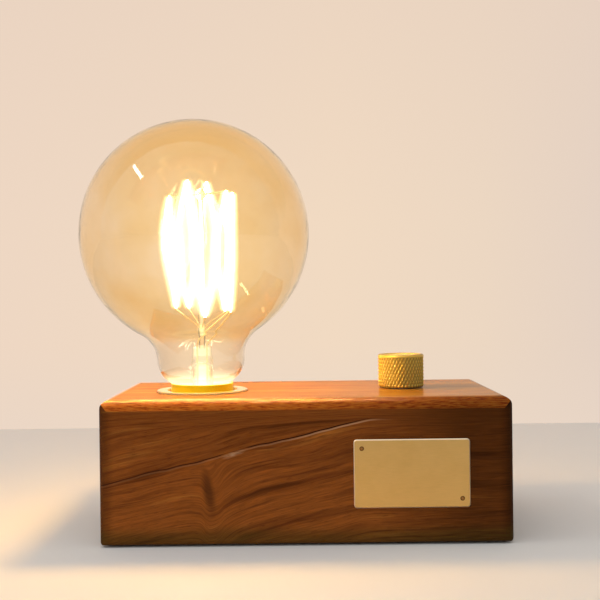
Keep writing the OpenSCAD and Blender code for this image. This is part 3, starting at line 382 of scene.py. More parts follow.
def turnedMetal(name, colour, roughness, scratch, uneven, stain, extra=None):
    # a metal with fine tool marks: noise drawn out along the tool's way, scratch in cycles per mm, and stained
    # patches; extra holds what its shader has besides
    material, add, place = newMaterial(name)
    marks = add("TexNoise", {"Vector": add("Mapping", {0: place, "Scale": scratch}),
                             "Scale": 1.0, "Detail": 3.0, "Roughness": 0.6})
    patches = add("TexNoise", {"Vector": place, "Scale": 0.12, "Detail": 4.0})
    patches = add("MapRange", {0: patches, 1: 0.45, 2: 0.75, 3: 0.0, 4: 0.35})
    shade, rough = (add("MapRange", {0: marks, 1: 0.3, 2: 0.7, 3: least, 4: most}) for least, most in (
        (1 - uneven, 1 + uneven), (roughness * 0.85, roughness * 1.15)))
    base = add("Mix", {0: patches, 6: colour, 7: stain}, data_type="RGBA")
    base = add("Mix", {0: 1.0, 6: base, 7: shade}, data_type="RGBA", blend_type="MULTIPLY")
    bump = add("Bump", {"Strength": 0.25, "Distance": 0.05 * mm, "Height": marks})
    add("OutputMaterial", {0: add("BsdfPrincipled", {
        "Base Color": base, "Metallic": 1.0, "Roughness": rough, "Normal": bump, **(extra or {})})})
    return material


def tintOver(material, share, over, blend="MIX"):
    # lays a colour over the metal's own by its share, or multiplies the metal's own by a value
    tree = material.node_tree
    colour = tree.nodes["Principled BSDF"].inputs["Base Color"]
    mix = addNode(tree, "Mix", {0: share, 6: colour.links[0].from_node, 7: over}, data_type="RGBA", blend_type=blend)
    tree.links.new(mix.outputs[2], colour)


def plateBrass():
    # Brushed brass: a satin sheet with lines along X, 0.1 mm apart, that draw its shine out sideways, and a cut
    # bevel round it painted paler: a painted highlight
    material = turnedMetal("brushed brass", "#dab26c", 0.36, (0.3, 0.3, 9.0), 0.05, "#caa058")
    add = partial(addNode, material.node_tree)
    normal = add("SeparateXYZ", {0: (add("NewGeometry"), "True Normal")})
    facing = add("Math", {0: (normal, 1)}, operation="ABSOLUTE")
    # painted highlight: the bevel, where the face looks neither front nor back, is tinted pale
    tintOver(material, add("MapRange", {0: facing, 1: 0.9, 2: 0.98, 3: 1.0, 4: 0.0}), "#ffe6c0")
    return material


def pinBrass():
    # Darkened brass: the dull brown heads of two small pins, rubbed lighter within 0.35 mm of their middles
    material = turnedMetal("darkened brass", "#6a3c1a", 0.5, (2.0, 2.0, 2.0), 0.2, "#3f2110")
    add = partial(addNode, material.node_tree)
    points = np.array([v.co for v in nodes["plate_pins"].data.vertices]) / mm
    left = points[:, 0] < points[:, 0].mean()
    heads = []
    for head in (points[left], points[~left]):
        centre = (head.min(0) + head.max(0)) / 2
        off = add("Mapping", {0: material.node_tree.nodes["Mapping"], "Location": (-centre[0], 0, -centre[2]),
                              "Scale": (1, 0, 1)})
        away = add("VectorMath", {0: off}, operation="LENGTH")
        heads.append(add("MapRange", {0: (away, "Value"), 1: 0.35, 2: 0.75, 3: 0.8, 4: 0.0}))
    tintOver(material, add("Math", {0: heads[0], 1: heads[1]}, operation="MAXIMUM"), "#b08048")
    return material


dress(plateBrass(), "name_plate")
dress(pinBrass(), "plate_pins")
# rolled brass: thin bright sheet with faint lines from the rollers
dress(turnedMetal("rolled brass", "#f2bc48", 0.25, (1.0, 1.0, 6.0), 0.08, "#cf9330"),
      "holder_shell", "holder_terminals")
# gilt brass: the cap's plated rim, a deep clean yellow where the lamp lights it
giltBrass = turnedMetal("gilt brass", "#ffe02a", 0.4, (0.2, 0.2, 0.8), 0.03, "#f8c81e")
# phosphor bronze: the redder spring tongue under the cap
dress(turnedMetal("phosphor bronze", "#c98f5a", 0.3, (1.0, 6.0, 1.0), 0.08, "#a56a3c"), "centre_contact")
# tin solder: a soft grey button
dress(turnedMetal("tin solder", "#b9b6ae", 0.35, (0.8, 0.8, 0.8), 0.1, "#8f8c86"), "cap_contact")
# zinc plated steel: screws, nuts and strap, pale with a blue cast
dress(turnedMetal("zinc plated steel", "#b4b8ba", 0.32, (1.5, 1.5, 4.0), 0.08, "#8d9396"),
      "cover_screws", "terminal_screws", "holder_strap", "holder_screws", "holder_nuts",
      "dimmer_washer", "dimmer_nut")
# turned aluminium: rings left by the lathe on the dimmer's shaft, and the plain sink
dress(turnedMetal("turned aluminium", "#c9cbcd", 0.3, (0.5, 0.5, 7.0), 0.06, "#a9abad"),
      "dimmer_shaft", "dimmer_bushing", "heat_sink")
# blackened steel: the grub screw, dark grey
dress(turnedMetal("blackened steel", "#5c5a57", 0.4, (2.0, 2.0, 2.0), 0.1, "#3b3a38"), "knob_grub_screw")
# drawn nickel wire: thin supports in the bulb, pale, with a faint painted glow for the filament's light on them
dress(turnedMetal("drawn nickel wire", "#d8c09a", 0.4, (2.0, 2.0, 5.0), 0.1, "#b89a70",
                  {"Emission Color": "#ffd48a", "Emission Strength": 0.45}), "support_wires", "lead_wires")
# enamelled copper: the choke's turns show as close orange-brown rings
dress(turnedMetal("enamelled copper", "#b0602e", 0.3, (0.6, 0.6, 9.0), 0.15, "#8a431c"), "choke")
print("metals done")


def mouldedFinish(name, colour, roughness, grit, depth, uneven, coat=0.0, specular=0.5, sheen=0.0):
    # a fired, moulded or pressed surface: even colour, grit in cycles per mm, depth in mm
    material, add, place = newMaterial(name)
    fine = add("TexNoise", {"Vector": place, "Scale": grit, "Detail": 4.0, "Roughness": 0.6})
    broad = add("TexNoise", {"Vector": place, "Scale": 0.08, "Detail": 3.0})
    both = add("Math", {0: fine, 1: broad}, operation="ADD")
    shade = add("MapRange", {0: both, 1: 0.7, 2: 1.3, 3: 1 - uneven, 4: 1 + uneven})
    base = add("Mix", {0: 1.0, 6: colour, 7: shade}, data_type="RGBA", blend_type="MULTIPLY")
    rough = add("MapRange", {0: fine, 1: 0.3, 2: 0.7, 3: roughness * 0.9, 4: min(1.0, roughness * 1.1)})
    bump = add("Bump", {"Strength": 1.0, "Distance": depth * mm, "Height": fine})
    add("OutputMaterial", {0: add("BsdfPrincipled", {
        "Base Color": base, "Roughness": rough, "Normal": bump, "Specular IOR Level": specular,
        "Coat Weight": coat, "Coat Roughness": 0.05, "Sheen Weight": sheen, "Sheen Roughness": 0.6})})
    return material


# glazed porcelain: warm white with a wet gloss and faint pits
dress(mouldedFinish("glazed porcelain", "#cbad72", 0.12, 1.2, 0.004, 0.02, coat=0.5), "holder_body")
# painted hardboard: the flat black cover underneath
dress(mouldedFinish("painted hardboard", "#2b2724", 0.7, 3.0, 0.05, 0.12), "base_plate")
# wool felt: short dark nap that stays matt from every side
dress(mouldedFinish("wool felt", "#241f1d", 0.95, 4.0, 0.3, 0.3, specular=0.1, sheen=0.4), "felt_pad")
# black nylon: the satin bush of the cord's inlet
dress(mouldedFinish("black nylon", "#1a1a1b", 0.45, 5.0, 0.01, 0.08), "cord_bush")
# black lamp glass: the glossy insulator at the foot of the cap
dress(mouldedFinish("black lamp glass", "#15151a", 0.15, 1.0, 0.005, 0.1), "cap_insulator")
# lamp cement: chalky, pale and rough
dress(mouldedFinish("lamp cement", "#b5ab95", 0.85, 3.0, 0.06, 0.12, specular=0.2), "cap_cement")
# phenolic moulding: the dimmer's dark case
dress(mouldedFinish("phenolic moulding", "#2f343a", 0.5, 4.0, 0.01, 0.08), "dimmer_housing")
# green circuit board: solder mask with a slight gloss
dress(mouldedFinish("green circuit board", "#1d6a42", 0.35, 1.5, 0.01, 0.1), "dimmer_board")
# epoxy moulding: the triac's matt black body
dress(mouldedFinish("epoxy moulding", "#1d1d1e", 0.5, 5.0, 0.01, 0.06), "triac")
# film capacitor case: ochre and smooth
dress(mouldedFinish("film capacitor case", "#c28f2a", 0.35, 2.0, 0.01, 0.06), "film_capacitor")
# ceramic fuse tube: off-white and even
dress(mouldedFinish("ceramic fuse tube", "#d8d0bd", 0.4, 3.0, 0.01, 0.05), "fuse")
# blue polyamide: the terminal block's moulding
dress(mouldedFinish("blue polyamide", "#2d6da6", 0.45, 4.0, 0.01, 0.05), "terminal_block")
# silicone rubber sleeve: dull red-brown leads that stand the lamp's heat
dress(mouldedFinish("silicone rubber sleeve", "#8f3b2a", 0.6, 5.0, 0.02, 0.06), "lamp_leads")
print("moulded pieces done")

# millimetres, degrees and heights above the cap's rim; rimZ is where that rim stands
bulb = {
    "axis": (-42.5, -6.0), "rimZ": 59.5, "globeR": 47.2, "globeRise": 61.5, "lean": 2.2,
    "neckR": 18.0, "neckTop": 10.0, "shoulderR": 11.0, "slope": 54.0, "wall": 0.7, "tailR": 12.0, "tailLen": 10.0,
    "amber": "#f5e2ba", "paleAmber": "#f9eedb", "deepAmber": "#f7e2b2", "clear": "#f5ece0",
    # the glass's haze glow and foot glow are painted light
    "crown": (75.0, 108.0), "coatEnd": (15.0, 20.0), "paintedHaze": 0.056, "paintedHazeColour": "#fff2c8",
    "foot": (0.5, 5.0), "paintedFootGlow": 0.35, "ripple": 0.15, "specular": 0.42,
}


def leanGlass(grid):
    # from the glass's own axis to its place: turned about Y by the lean, then moved to the cap's rim
    a = math.radians(bulb["lean"])
    turn = np.array([[math.cos(a), 0, -math.sin(a)], [0, 1, 0], [math.sin(a), 0, math.cos(a)]])
    return grid @ turn.T + np.array([*bulb["axis"], bulb["rimZ"]])


def onCap(points):
    # from the cap's own axis and rim to the place in the frame
    return np.asarray(points, float) + np.array([*bulb["axis"], bulb["rimZ"]])


def glassProfile(t):
    # globe arc, the fillet that meets globe and neck alike, shoulder arc and straight tail, drawn in by t
    b = bulb
    drop = b["globeRise"] - b["neckTop"]
    fillet = (b["neckR"] ** 2 + drop ** 2 - b["globeR"] ** 2) / (2 * (b["globeR"] - b["neckR"]))
    meet = math.atan2(drop, b["neckR"] + fillet)
    s = math.radians(b["slope"])
    a = np.linspace(math.pi / 2, -meet, 140)
    globe = np.stack([(b["globeR"] - t) * np.cos(a), b["globeRise"] + (b["globeR"] - t) * np.sin(a)], -1)
    globe[0, 0] = 0
    a = np.linspace(math.pi - meet, math.pi, 26)[1:]
    hollow = np.stack([b["neckR"] + fillet + (fillet + t) * np.cos(a),
                       b["neckTop"] + (fillet + t) * np.sin(a)], -1)
    a = np.linspace(0, -s, 20)[1:]
    turn = b["shoulderR"] - t
    shoulder = np.stack([b["neckR"] - b["shoulderR"] + turn * np.cos(a), b["neckTop"] + turn * np.sin(a)], -1)
    tailR = b["tailR"] - t
    last = shoulder[-1]
    tail = np.array([[tailR, last[1] - (last[0] - tailR) / math.tan(s)], [tailR - 0.5, -b["tailLen"]]])
    return np.concatenate([globe, hollow, shoulder, tail])


def lampGlass(name, tint, paleTint, ripple, paintedHaze, coated=False, ior=1.47, specular=0.5):
    # Blown lamp glass: clear and wet looking, with slow ripples that bend reflections, and a faint painted glow, most
    # where it faces the eye, for the filament's light scattered in it. A coated globe has thin amber, thicker at its
    # crown, that ends softly above the neck, and a painted glow at its foot for the bright cap's light.
    material, add, place = newMaterial(name)
    streaks = add("TexNoise", {"Vector": place, "Scale": 0.035, "Detail": 3.0})
    streaks = add("MapRange", {0: streaks, 1: 0.35, 2: 0.65, 3: 0.0, 4: 1.0})
    tone = add("Mix", {0: streaks, 6: tint, 7: paleTint}, data_type="RGBA")
    # painted glow of the filament's light, strongest where the glass faces the eye
    glow = add("MapRange", {0: (add("LayerWeight", {"Blend": 0.5}), "Facing"), 1: 0.0, 2: 0.4,
                            3: paintedHaze, 4: paintedHaze * 0.1}, interpolation_type="SMOOTHSTEP")
    if coated:
        # amber deepens at the crown and clears at the neck; the foot adds a painted glow within 5 mm above the cap's
        # rim
        height = (add("SeparateXYZ", {0: place}), 2)
        crown, coat, foot = (add("MapRange", {
            0: height, 1: bulb["rimZ"] + bulb[key][0], 2: bulb["rimZ"] + bulb[key][1], 3: below, 4: above},
            interpolation_type="SMOOTHSTEP") for key, below, above in (
                ("crown", 0.0, 1.0), ("coatEnd", 0.0, 1.0), ("foot", bulb["paintedFootGlow"], 0.0)))
        tone = add("Mix", {0: crown, 6: tone, 7: bulb["deepAmber"]}, data_type="RGBA")
        tone = add("Mix", {0: coat, 6: bulb["clear"], 7: tone}, data_type="RGBA")
        glow = add("Math", {0: glow, 1: foot}, operation="ADD")
    waves = add("TexNoise", {"Vector": place, "Scale": 0.09, "Detail": 2.0})
    bump = add("Bump", {"Strength": ripple, "Distance": 0.6 * mm, "Height": waves})
    glass = add("BsdfPrincipled", {
        "Base Color": tone, "Roughness": 0.0, "IOR": ior, "Specular IOR Level": specular, "Transmission Weight": 1.0,
        "Normal": bump, "Emission Color": bulb["paintedHazeColour"], "Emission Strength": glow})
    # the lamp's light passes it without a shadow
    clear = add("BsdfTransparent", {"Color": "#fff6e4"})
    mix = add("MixShader", {0: (add("LightPath"), "Is Shadow Ray"), 1: glass, 2: clear})
    add("OutputMaterial", {0: mix})
    return material


outer, inner = glassProfile(0), glassProfile(bulb["wall"])
newPiece("bulbGlass", [leanGlass(lathe(np.concatenate([outer, inner[::-1]]), 180))], "bulb",
         lampGlass("amber lamp glass", bulb["amber"], bulb["paleAmber"], bulb["ripple"], bulb["paintedHaze"], coated=True,
                   specular=bulb["specular"]), ["bulb_glass"])
print("globe blown")

# millimetres, heights above the cap's rim
stem = {"tubeR": 4.5, "wall": 0.9, "flareR": 6.0, "footZ": -10.3, "footR": 11.4, "pinchZ": 7.0, "pinchH": 8.5,
        "pinchW": 3.9, "pinchT": 1.8, "rodR": 1.3, "beadR": 2.2, "lowBead": 22.5, "highBead": 78.0}


def stemGrids():
    # a tube with a trumpet foot, flattened into the pinch: rings of half widths x and y at the heights h, first up the
    # outside and then down the inside; a rod and two beads stand on it
    s = stem
    a = np.radians(270 - np.linspace(0, 90, 16))
    flare = np.stack([s["tubeR"] + s["flareR"] + s["flareR"] * np.cos(a),
                      s["footZ"] + s["flareR"] + s["flareR"] * np.sin(a)], -1)
    r = s["flareR"] + s["wall"]
    hollow = np.stack([s["tubeR"] + s["flareR"] + r * np.cos(a), s["footZ"] + s["flareR"] + r * np.sin(a)], -1)
    z = np.linspace(0, 1, 30)
    ease = z * z * (3 - 2 * z)
    top = s["pinchZ"] + s["pinchH"]
    up = s["pinchZ"] - 1.5 + z * (s["pinchH"] + 1.5)
    halfX = s["tubeR"] + (s["pinchW"] - s["tubeR"]) * ease
    halfY = s["tubeR"] + (s["pinchT"] - s["tubeR"]) * np.clip(ease * 1.6, 0, 1)
    outerX = np.concatenate([[s["footR"]], flare[:, 0], halfX, [s["pinchW"] * 0.75, 0]])
    outerY = np.concatenate([[s["footR"]], flare[:, 0], halfY, [s["pinchT"] * 0.75, 0]])
    outerZ = np.concatenate([[s["footZ"]], flare[:, 1], up, [top + 0.5, top + 0.7]])
    innerR = np.concatenate([[0, s["tubeR"] * 0.5, s["tubeR"] - s["wall"]], hollow[::-1, 0], [s["footR"]]])
    innerZ = np.concatenate([[s["pinchZ"] + 1.5, s["pinchZ"] + 1.1, s["pinchZ"] - 0.5], hollow[::-1, 1],
                             [s["footZ"] - s["wall"]]])
    x = np.concatenate([outerX[::-1], [s["footR"]], innerR[::-1]])
    y = np.concatenate([outerY[::-1], [s["footR"]], innerR[::-1]])
    h = np.concatenate([outerZ[::-1], [s["footZ"] - s["wall"]], innerZ[::-1]])
    t = np.linspace(0, 2 * np.pi, 72, endpoint=False)
    tube = np.stack([x[:, None] * np.cos(t), y[:, None] * np.sin(t), np.broadcast_to(h[:, None], (len(h), 72))], -1)
    rod = lathe(np.array([[0, top - 1], [s["rodR"], top - 1], [s["rodR"], s["highBead"]], [0, s["highBead"]]]), 24)
    a = np.linspace(-np.pi / 2, np.pi / 2, 20)
    beads = [lathe(np.stack([s["beadR"] * np.cos(a), z + 1.15 * s["beadR"] * np.sin(a)], -1), 32)
             for z in (s["lowBead"], s["highBead"])]
    return [onCap(g) for g in [tube, rod, *beads]]


# the stem's clear lead glass takes a strong painted glow, 0.34, for the filament's light washing over it
newPiece("bulbStem", stemGrids(), "bulb", lampGlass("clear lead glass", "#f2e6d0", "#ffffff", 0.2, 0.34, ior=1.16),
         ["bulb_stem"])

# millimetres above the cap's rim; a hook is (azimuth in degrees, rise in mm)
cage = {"highR": 13.3, "lowR": 12.2, "highZ": 81.5, "lowZ": 29.5,
        "high": [(11, -2.5), (84, 3.3), (171, -3.7), (253, 1), (328, -2.8)],
        "low": [(42, 0), (122, 1.4), (218, 1.7), (282, -2)], "ends": [(351, -0.3), (343, 0.5)],
        "bow": 1.35, "steep": 1.5, "wireR": 0.25, "wireGlow": 1800.0, "strandR": 0.95, "strandGlow": 12.0,
        "haloR": 3.5, "haloGlow": 0.85, "coreR": 11.0, "coreGlow": 0.4}


def ringPoints(hooks, r, z):
    # hooks as (azimuth in degrees, rise in mm) on a ring: (r cos azimuth, r sin azimuth, z + rise)
    azimuth, rise = np.radians([h[0] for h in hooks]), np.array([h[1] for h in hooks], float)
    return np.stack([r * np.cos(azimuth), r * np.sin(azimuth), z + rise], -1)


def strandPaths():
    # Ten strands, two to each hook: p = foot + (top - foot) t + bow (1 - cos azimuth) sin(pi s^1.5) outwards, so most
    # on the left, with t = s along Z and (1 + sign(2 s - 1) |2 s - 1|^steep) / 2 across it, which leaves the middles
    # nearly upright.
    high = ringPoints(cage["high"], cage["highR"], cage["highZ"])
    low = ringPoints(cage["low"], cage["lowR"], cage["lowZ"])
    ends = ringPoints(cage["ends"], cage["lowR"], cage["lowZ"])
    feet = np.concatenate([ends[:1], np.repeat(low, 2, axis=0), ends[1:]])
    tops = np.repeat(high, 2, axis=0)
    out = (feet + tops) * (1, 1, 0)
    out /= np.linalg.norm(out, axis=1, keepdims=True)
    s = np.linspace(0, 1, 44)[None, :, None]
    bow = cage["bow"] * (1 - out[:, None, :1]) * np.sin(np.pi * s ** 1.5)
    across = 0.5 + 0.5 * np.sign(2 * s - 1) * np.abs(2 * s - 1) ** cage["steep"]
    share = np.concatenate([across, across, s], -1)
    return feet[:, None] + (tops - feet)[:, None] * share + bow * out[:, None]


def hotTungsten(name, glow, core, edge, fall):
    # Tungsten at 2,100 K: far brighter than anything round it, white in the middle and yellow at its edge
    material, add, place = newMaterial(name)
    coil = add("TexNoise", {"Vector": place, "Scale": 1.5, "Detail": 2.0})
    coil = add("MapRange", {0: coil, 1: 0.3, 2: 0.7, 3: -0.08, 4: 0.08})
    mix = add("Math", {0: (add("LayerWeight", {"Blend": 0.35}), "Facing"), 1: coil}, operation="ADD")
    colour = add("ValToRGB", {0: mix}, stops=[(0.0, core), (0.45, core), (0.9, edge)])
    power = add("MapRange", {0: mix, 1: 0.2, 2: 0.95, 3: glow, 4: fall})
    add("OutputMaterial", {0: add("BsdfPrincipled", {
        "Base Color": "#8a7c6a", "Metallic": 1.0, "Roughness": 0.5, "Emission Color": colour,
        "Emission Strength": power})})
    return material


def hotHalo(name, glow):
    # Light spread round the hot coil, as a lens and hazy glass spread it: it adds glow (1 - facing)^3, white in
    # the middle and yellow at its edge, and hides nothing behind it
    material, add, place = newMaterial(name)
    facing = (add("LayerWeight", {"Blend": 0.5}), "Facing")
    inward = add("Math", {0: 1.0, 1: facing}, operation="SUBTRACT")
    coil = add("TexNoise", {"Vector": place, "Scale": 0.5, "Detail": 1.0})
    coil = add("MapRange", {0: coil, 1: 0.3, 2: 0.7, 3: 0.9 * glow, 4: 1.1 * glow})
    power = add("Math", {0: inward, 1: 3.0}, operation="POWER")
    power = add("Math", {0: power, 1: coil}, operation="MULTIPLY")
    colour = add("ValToRGB", {0: facing}, stops=[(0.0, "#fffbe8"), (0.3, "#fff0c0"), (0.8, "#ffc860")])
    light = add("Emission", {0: colour, 1: power})
    add("OutputMaterial", {0: add("AddShader", {0: add("BsdfTransparent"), 1: light})})
    return material


paths = strandPaths()
s = np.linspace(0, 1, paths.shape[1])
swell = 0.6 + 0.4 * np.sin(np.pi * s) ** 0.55  # thinner at the hooks
newPiece("filamentWire", [onCap(tubeAlong(p, cage["wireR"], 6)) for p in paths], "bulb",
         hotTungsten("hot tungsten wire", cage["wireGlow"], "#fff8ea", "#fff8ea", cage["wireGlow"]),
         ["filament"]).visible_diffuse = False
strands = newPiece("filamentGlow", [onCap(tubeAlong(p, cage["strandR"] * swell, 14)) for p in paths], "bulb",
                   hotTungsten("glowing tungsten coil", cage["strandGlow"], "#fffbe6", "#ffd070", 1.3),
                   ["filament"])
halo = newPiece("filamentHalo", [onCap(tubeAlong(p, cage["haloR"] * swell, 20)) for p in paths], "bulb",
                hotHalo("halo of the hot coil", cage["haloGlow"]), ["filament"])
# the core is a rounded barrel inside the cage, of radius coreR sqrt(cos a) at the height middle + reach sin a
a = np.linspace(-np.pi / 2, np.pi / 2, 40)
middle, reach = (cage["highZ"] + cage["lowZ"]) / 2 - 1.0, (cage["highZ"] - cage["lowZ"]) / 2 + 1.0
barrel = lathe(np.stack([cage["coreR"] * np.cos(a) ** 0.5, middle + reach * np.sin(a)], -1), 64)
core = newPiece("filamentCore", [onCap(barrel)], "bulb", hotHalo("glow inside the cage", cage["coreGlow"]),
                ["filament"])
# the bulb's lamps do the lighting, so none of these lights other things; halo and core leave reflections alone
for each in (strands, halo, core):
    each.visible_diffuse = each.visible_shadow = False
halo.visible_glossy = core.visible_glossy = False
print("filament strung")

# rolled screw thread: pitch, depth of the groove and the part of it that lies outside r, all in mm
thread = {"r": 12.8, "wall": 0.35, "low": -21.5, "high": 0.0, "pitch": 3.62, "depth": 0.5, "rise": 0.22,
          "collar": 4.2, "collarFade": 1.2, "footFade": 0.8, "rowsPerTurn": 14}


def threadedGrid(columns=96):
    # the wall's radius swings by depth (1 - cos(2 pi z / pitch - t)) / 2 - rise, and the swing fades into a plain
    # collar at the top and into the foot
    k = thread
    z = np.linspace(k["low"], k["high"], int((k["high"] - k["low"]) / k["pitch"] * k["rowsPerTurn"]))[:, None]
    t = np.linspace(0, 2 * np.pi, columns, endpoint=False)[None, :]
    fade = (np.clip((k["high"] - k["collar"] - z) / k["collarFade"], 0, 1)
            * np.clip((z - k["low"]) / k["footFade"], 0, 1))
    swing = (k["depth"] * (0.5 - 0.5 * np.cos(2 * np.pi * (z / k["pitch"]) - t)) - k["rise"]) * fade
    outside, inside = (np.stack([r * np.cos(t), r * np.sin(t), np.broadcast_to(z, r.shape)], -1)
                       for r in (k["r"] - swing, k["r"] - k["wall"] - swing))
    return np.concatenate([outside, inside[::-1], outside[:1]])


newPiece("capThread", [onCap(threadedGrid())], "bulb", giltBrass, ["cap_shell"])
print("thread rolled")

# millimetres; round is the number of ridges, and trough is how high the second helix stands at its lowest, as a
# share of the depth
knob = {"x": 40.4, "y": 0.0, "foot": 56.5, "high": 13.6, "r": 9.55, "bevel": 0.45, "rim": 0.7, "depth": 0.5,
        "round": 41, "pitch": 2.8, "trough": 0.2, "wallRows": 84, "columnsPerRidge": 8, "dishR": 7.7,
        "dishDeep": 0.35, "nutR": 6.8, "nutDeep": 3.6, "boreR": 3.03, "boreTop": 66.7, "screwUp": 7.0,
        "screwR": 1.5, "screwSeat": 8.6}


def knobGrid():
    # A turned cap; its wall is r - depth (1 - min(ridge(u), trough + (1 - trough) ridge(v))), with ridge a triangle
    # wave and u, v two helices that cross: u, v = round turn / 2 pi -+ z / pitch. Over the grub screw the wall is
    # drawn in to the screw's seat.
    k, columns = knob, knob["round"] * knob["columnsPerRidge"]
    low, top = k["foot"], k["foot"] + k["high"]
    wallZ = np.linspace(low + k["bevel"], top - k["bevel"] - k["rim"], k["wallRows"])
    under = [(0, k["boreTop"]), (k["boreR"], k["boreTop"]), (k["boreR"], low + k["nutDeep"]),
             (k["nutR"], low + k["nutDeep"]), (k["nutR"], low), (k["r"] - k["bevel"] - 0.1, low)]
    over = [(k["r"], top - k["bevel"] - k["rim"] + 0.12), (k["r"], top - k["bevel"]), (k["r"] - k["bevel"], top),
            (k["dishR"] + 0.3, top), (k["dishR"], top - k["dishDeep"]), (0, top - k["dishDeep"])]
    profile = np.array(under + [(k["r"], h) for h in wallZ] + over)
    turn = np.linspace(0, 2 * np.pi, columns, endpoint=False)[None]
    r, z = np.broadcast_to(profile[:, :1], (len(profile), columns)).copy(), profile[:, 1:]
    wave = [np.abs(2 * ((k["round"] * turn / (2 * np.pi) + way * z / k["pitch"]) % 1) - 1) for way in (-1, 1)]
    ridge = np.minimum(wave[0], k["trough"] + (1 - k["trough"]) * wave[1])
    wall = slice(len(under), len(under) + len(wallZ))
    r[wall] -= k["depth"] * (1 - ridge[wall])
    overScrew = (np.hypot(r * np.cos(turn), z - low - k["screwUp"]) < k["screwR"]) & (np.sin(turn) > 0)
    r[wall] = np.where(overScrew[wall], k["screwSeat"], r[wall])
    return np.stack([k["x"] + r * np.cos(turn), k["y"] + r * np.sin(turn), np.broadcast_to(z, r.shape)], -1)


def knobBrass():
    # Knurled brass: every ridge of the knurl has its own small glint, bright yellow towards the lamp, and the
    # grooves hold old polish, which darkens them with their depth; the flat top stays clean
    material = turnedMetal("knurled brass", "#d2b04c", 0.4, (3.0, 3.0, 3.0), 0.06, "#be983c", {"Metallic": 0.7})
    add = partial(addNode, material.node_tree)
    off = add("Mapping", {0: material.node_tree.nodes["Mapping"], "Location": (-knob["x"], -knob["y"], 0),
                          "Scale": (1, 1, 0)})
    out = (add("VectorMath", {0: off}, operation="LENGTH"), "Value")
    polish = add("MapRange", {0: out, 1: knob["r"] - knob["depth"], 2: knob["r"] - 0.1, 3: 0.4, 4: 1.05})
    side = add("MapRange", {0: out, 1: knob["dishR"] + 0.8, 2: knob["dishR"] + 0.9, 3: 0.0, 4: 1.0})
    tintOver(material, 1.0, add("Mix", {0: side, 2: 1.0, 3: polish}, data_type="FLOAT"), "MULTIPLY")
    return material


newPiece("knurledKnob", [knobGrid()], "dimmer", knobBrass(), ["dimmer_knob"], crease=40)
print("knob knurled")

stage = {"wallY": 300.0, "far": 3000.0, "front": -1500.0, "tall": 2500.0, "floor": "#e9e5de",
         "floorShade": "#e4e1dc", "paper": ("#eed7c3", "#f1dac2", "#ecd7c2", "#e5d2c3"),
         "paperHigh": "#e8d2c0", "paperLow": "#e9d6c6"}


def stageSheet(name, corners, material):
    # a flat sheet of the stage from its four corners in mm
    mesh = bpy.data.meshes.new(name)
    mesh.from_pydata((np.array(corners, float) * mm).tolist(), [], [(0, 1, 2, 3)])
    mesh.materials.append(material)
    sheet = bpy.data.objects.new(name, mesh)
    bpy.context.scene.collection.objects.link(sheet)


def paperWall():
    # Seamless paper, warm, with painted shade that darkens it a little at its right edge, high up and low down.
    # Camera, metal and glass see its own colour. It has a front only, so that a view from behind it still shows the
    # lamp.
    material, add, place = newMaterial("warm paper backdrop")
    xyz = add("SeparateXYZ", {0: place})
    # painted shade: the paper's tone darkens towards its right edge, high up and low down
    across = add("MapRange", {0: (xyz, 0), 1: -220.0, 2: 220.0, 3: 0.0, 4: 1.0})
    tone = add("ValToRGB", {0: across}, stops=list(zip((0.0, 0.55, 0.8, 1.0), stage["paper"])))
    for key, start, end in (("paperHigh", 150.0, 320.0), ("paperLow", 60.0, 0.0)):
        share = add("MapRange", {0: (xyz, 2), 1: start, 2: end, 3: 0.0, 4: 0.6})
        tone = add("Mix", {0: share, 6: tone, 7: stage[key]}, data_type="RGBA")
    rays = add("LightPath")
    seen = (rays, "Is Camera Ray")
    for ray in ("Is Glossy Ray", "Is Transmission Ray"):
        seen = add("Math", {0: seen, 1: (rays, ray)}, operation="MAXIMUM")
    mix = add("MixShader", {0: seen, 1: add("BsdfDiffuse", {0: tone}), 2: add("Emission", {0: tone, 1: 1.0})})
    back = add("Math", {0: (add("NewGeometry"), "Backfacing"), 1: (rays, "Is Camera Ray")}, operation="MULTIPLY")
    add("OutputMaterial", {0: add("MixShader", {0: back, 1: mix, 2: add("BsdfTransparent")})})
    return material


def paleTable():
    # painted table top: off-white and matt, faintly clouded
    material, add, place = newMaterial("pale table top")
    cloud = add("TexNoise", {"Vector": place, "Scale": 0.01, "Detail": 2.0})
    tone = add("Mix", {0: cloud, 6: stage["floor"], 7: stage["floorShade"]}, data_type="RGBA")
    add("OutputMaterial", {0: add("BsdfPrincipled", {
        "Base Color": tone, "Roughness": 0.7, "Specular IOR Level": 0.05})})
    return material


far, wallY = stage["far"], stage["wallY"]
stageSheet("tableTop", [(-far, stage["front"], 0), (far, stage["front"], 0), (far, wallY, 0), (-far, wallY, 0)],
           paleTable())
stageSheet("backdrop", [(-far, wallY, -10), (far, wallY, -10), (far, wallY, stage["tall"]),
                        (-far, wallY, stage["tall"])], paperWall())

# powers in watts, the bulb's height and softness in mm, the strip's places in metres; the room's strengths are for
# level and overhead light
light = {
    "bulbPower": 0.68, "shinePower": 1.4, "bulbColour": "#ffd07c", "bulbHeight": 115.0, "bulbSoft": 12.0,
    "roomLow": 0.45, "roomHigh": 1.12, "roomDim": 0.42, "roomColour": "#f8fbff",
    "stripPower": 1.3, "stripFrom": (-1.05, 0.03, 1.27), "stripTo": (-1.01, -0.50, 1.21), "stripWide": 0.05,
    "stripAim": (-0.045, 0, 0.12),
}


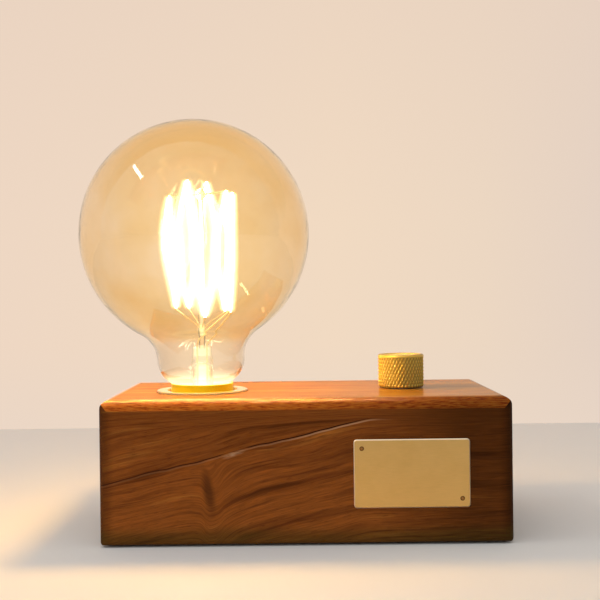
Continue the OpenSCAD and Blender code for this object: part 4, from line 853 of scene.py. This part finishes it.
def stripLamp():
    # a strip from start to end: its x runs along it, and its -z looks as nearly at its aim as that allows
    start, end, aim = (Vector(light[key]) for key in ("stripFrom", "stripTo", "stripAim"))
    along, middle = (end - start).normalized(), (start + end) / 2
    away = (middle - aim) - along * along.dot(middle - aim)
    away.normalize()
    data = bpy.data.lights.new("strip", "AREA")
    data.shape, data.size, data.size_y = "RECTANGLE", (end - start).length, light["stripWide"]
    data.energy = light["stripPower"]
    lamp = bpy.data.objects.new("strip", data)
    bpy.context.scene.collection.objects.link(lamp)
    turn = Matrix((along, away.cross(along), away)).transposed().to_4x4()
    lamp.matrix_world = Matrix.Translation(middle) @ turn


def bulbLight(name, power):
    # a small round lamp at the bulb's middle, which no camera sees
    data = bpy.data.lights.new(name, "POINT")
    data.energy, data.color, data.shadow_soft_size = power, hexColour(light["bulbColour"])[:3], light["bulbSoft"] * mm
    lamp = bpy.data.objects.new(name, data)
    lamp.location = (bulb["axis"][0] * mm, bulb["axis"][1] * mm, light["bulbHeight"] * mm)
    lamp.visible_camera = lamp.visible_transmission = False
    bpy.context.scene.collection.objects.link(lamp)
    return lamp


def limitShine(lamp, *receivers):
    # the lamp shines on these objects alone
    group = bpy.data.collections.new("shiny")
    for each in receivers:
        group.objects.link(each)
    lamp.light_linking.receiver_collection = group


def roomLight():
    # an even pale room, brighter overhead and dimmer to the right: (low + (high - low) z) (1 - dim x)
    world = bpy.data.worlds.new("room")
    bpy.context.scene.world = world
    world.use_nodes = True
    world.node_tree.nodes.clear()
    add = partial(addNode, world.node_tree)
    way = add("SeparateXYZ", {0: (add("TexCoord"), "Generated")})
    power = add("MapRange", {0: (way, 2), 1: 0.0, 2: 1.0, 3: light["roomLow"], 4: light["roomHigh"]})
    dim = add("MapRange", {0: (way, 0), 1: -1.0, 2: 1.0, 3: 1 + light["roomDim"], 4: 1 - light["roomDim"]})
    power = add("Math", {0: power, 1: dim}, operation="MULTIPLY")
    add("OutputWorld", {0: add("Background", {0: light["roomColour"], 1: power})})


stripLamp()
# one lamp lights the things round it, the other gives its shine on wood, brass and porcelain
bulbLight("bulb light", light["bulbPower"]).visible_glossy = False
shineLamp = bulbLight("bulb shine", light["shinePower"])
shineLamp.visible_diffuse = False
limitShine(shineLamp, nodes["wood_block"], nodes["holder_body"], bpy.data.objects["capThread"],
           bpy.data.objects["knurledKnob"])
roomLight()
bpy.context.scene.view_settings.view_transform = "Standard"
print("stage and light set")
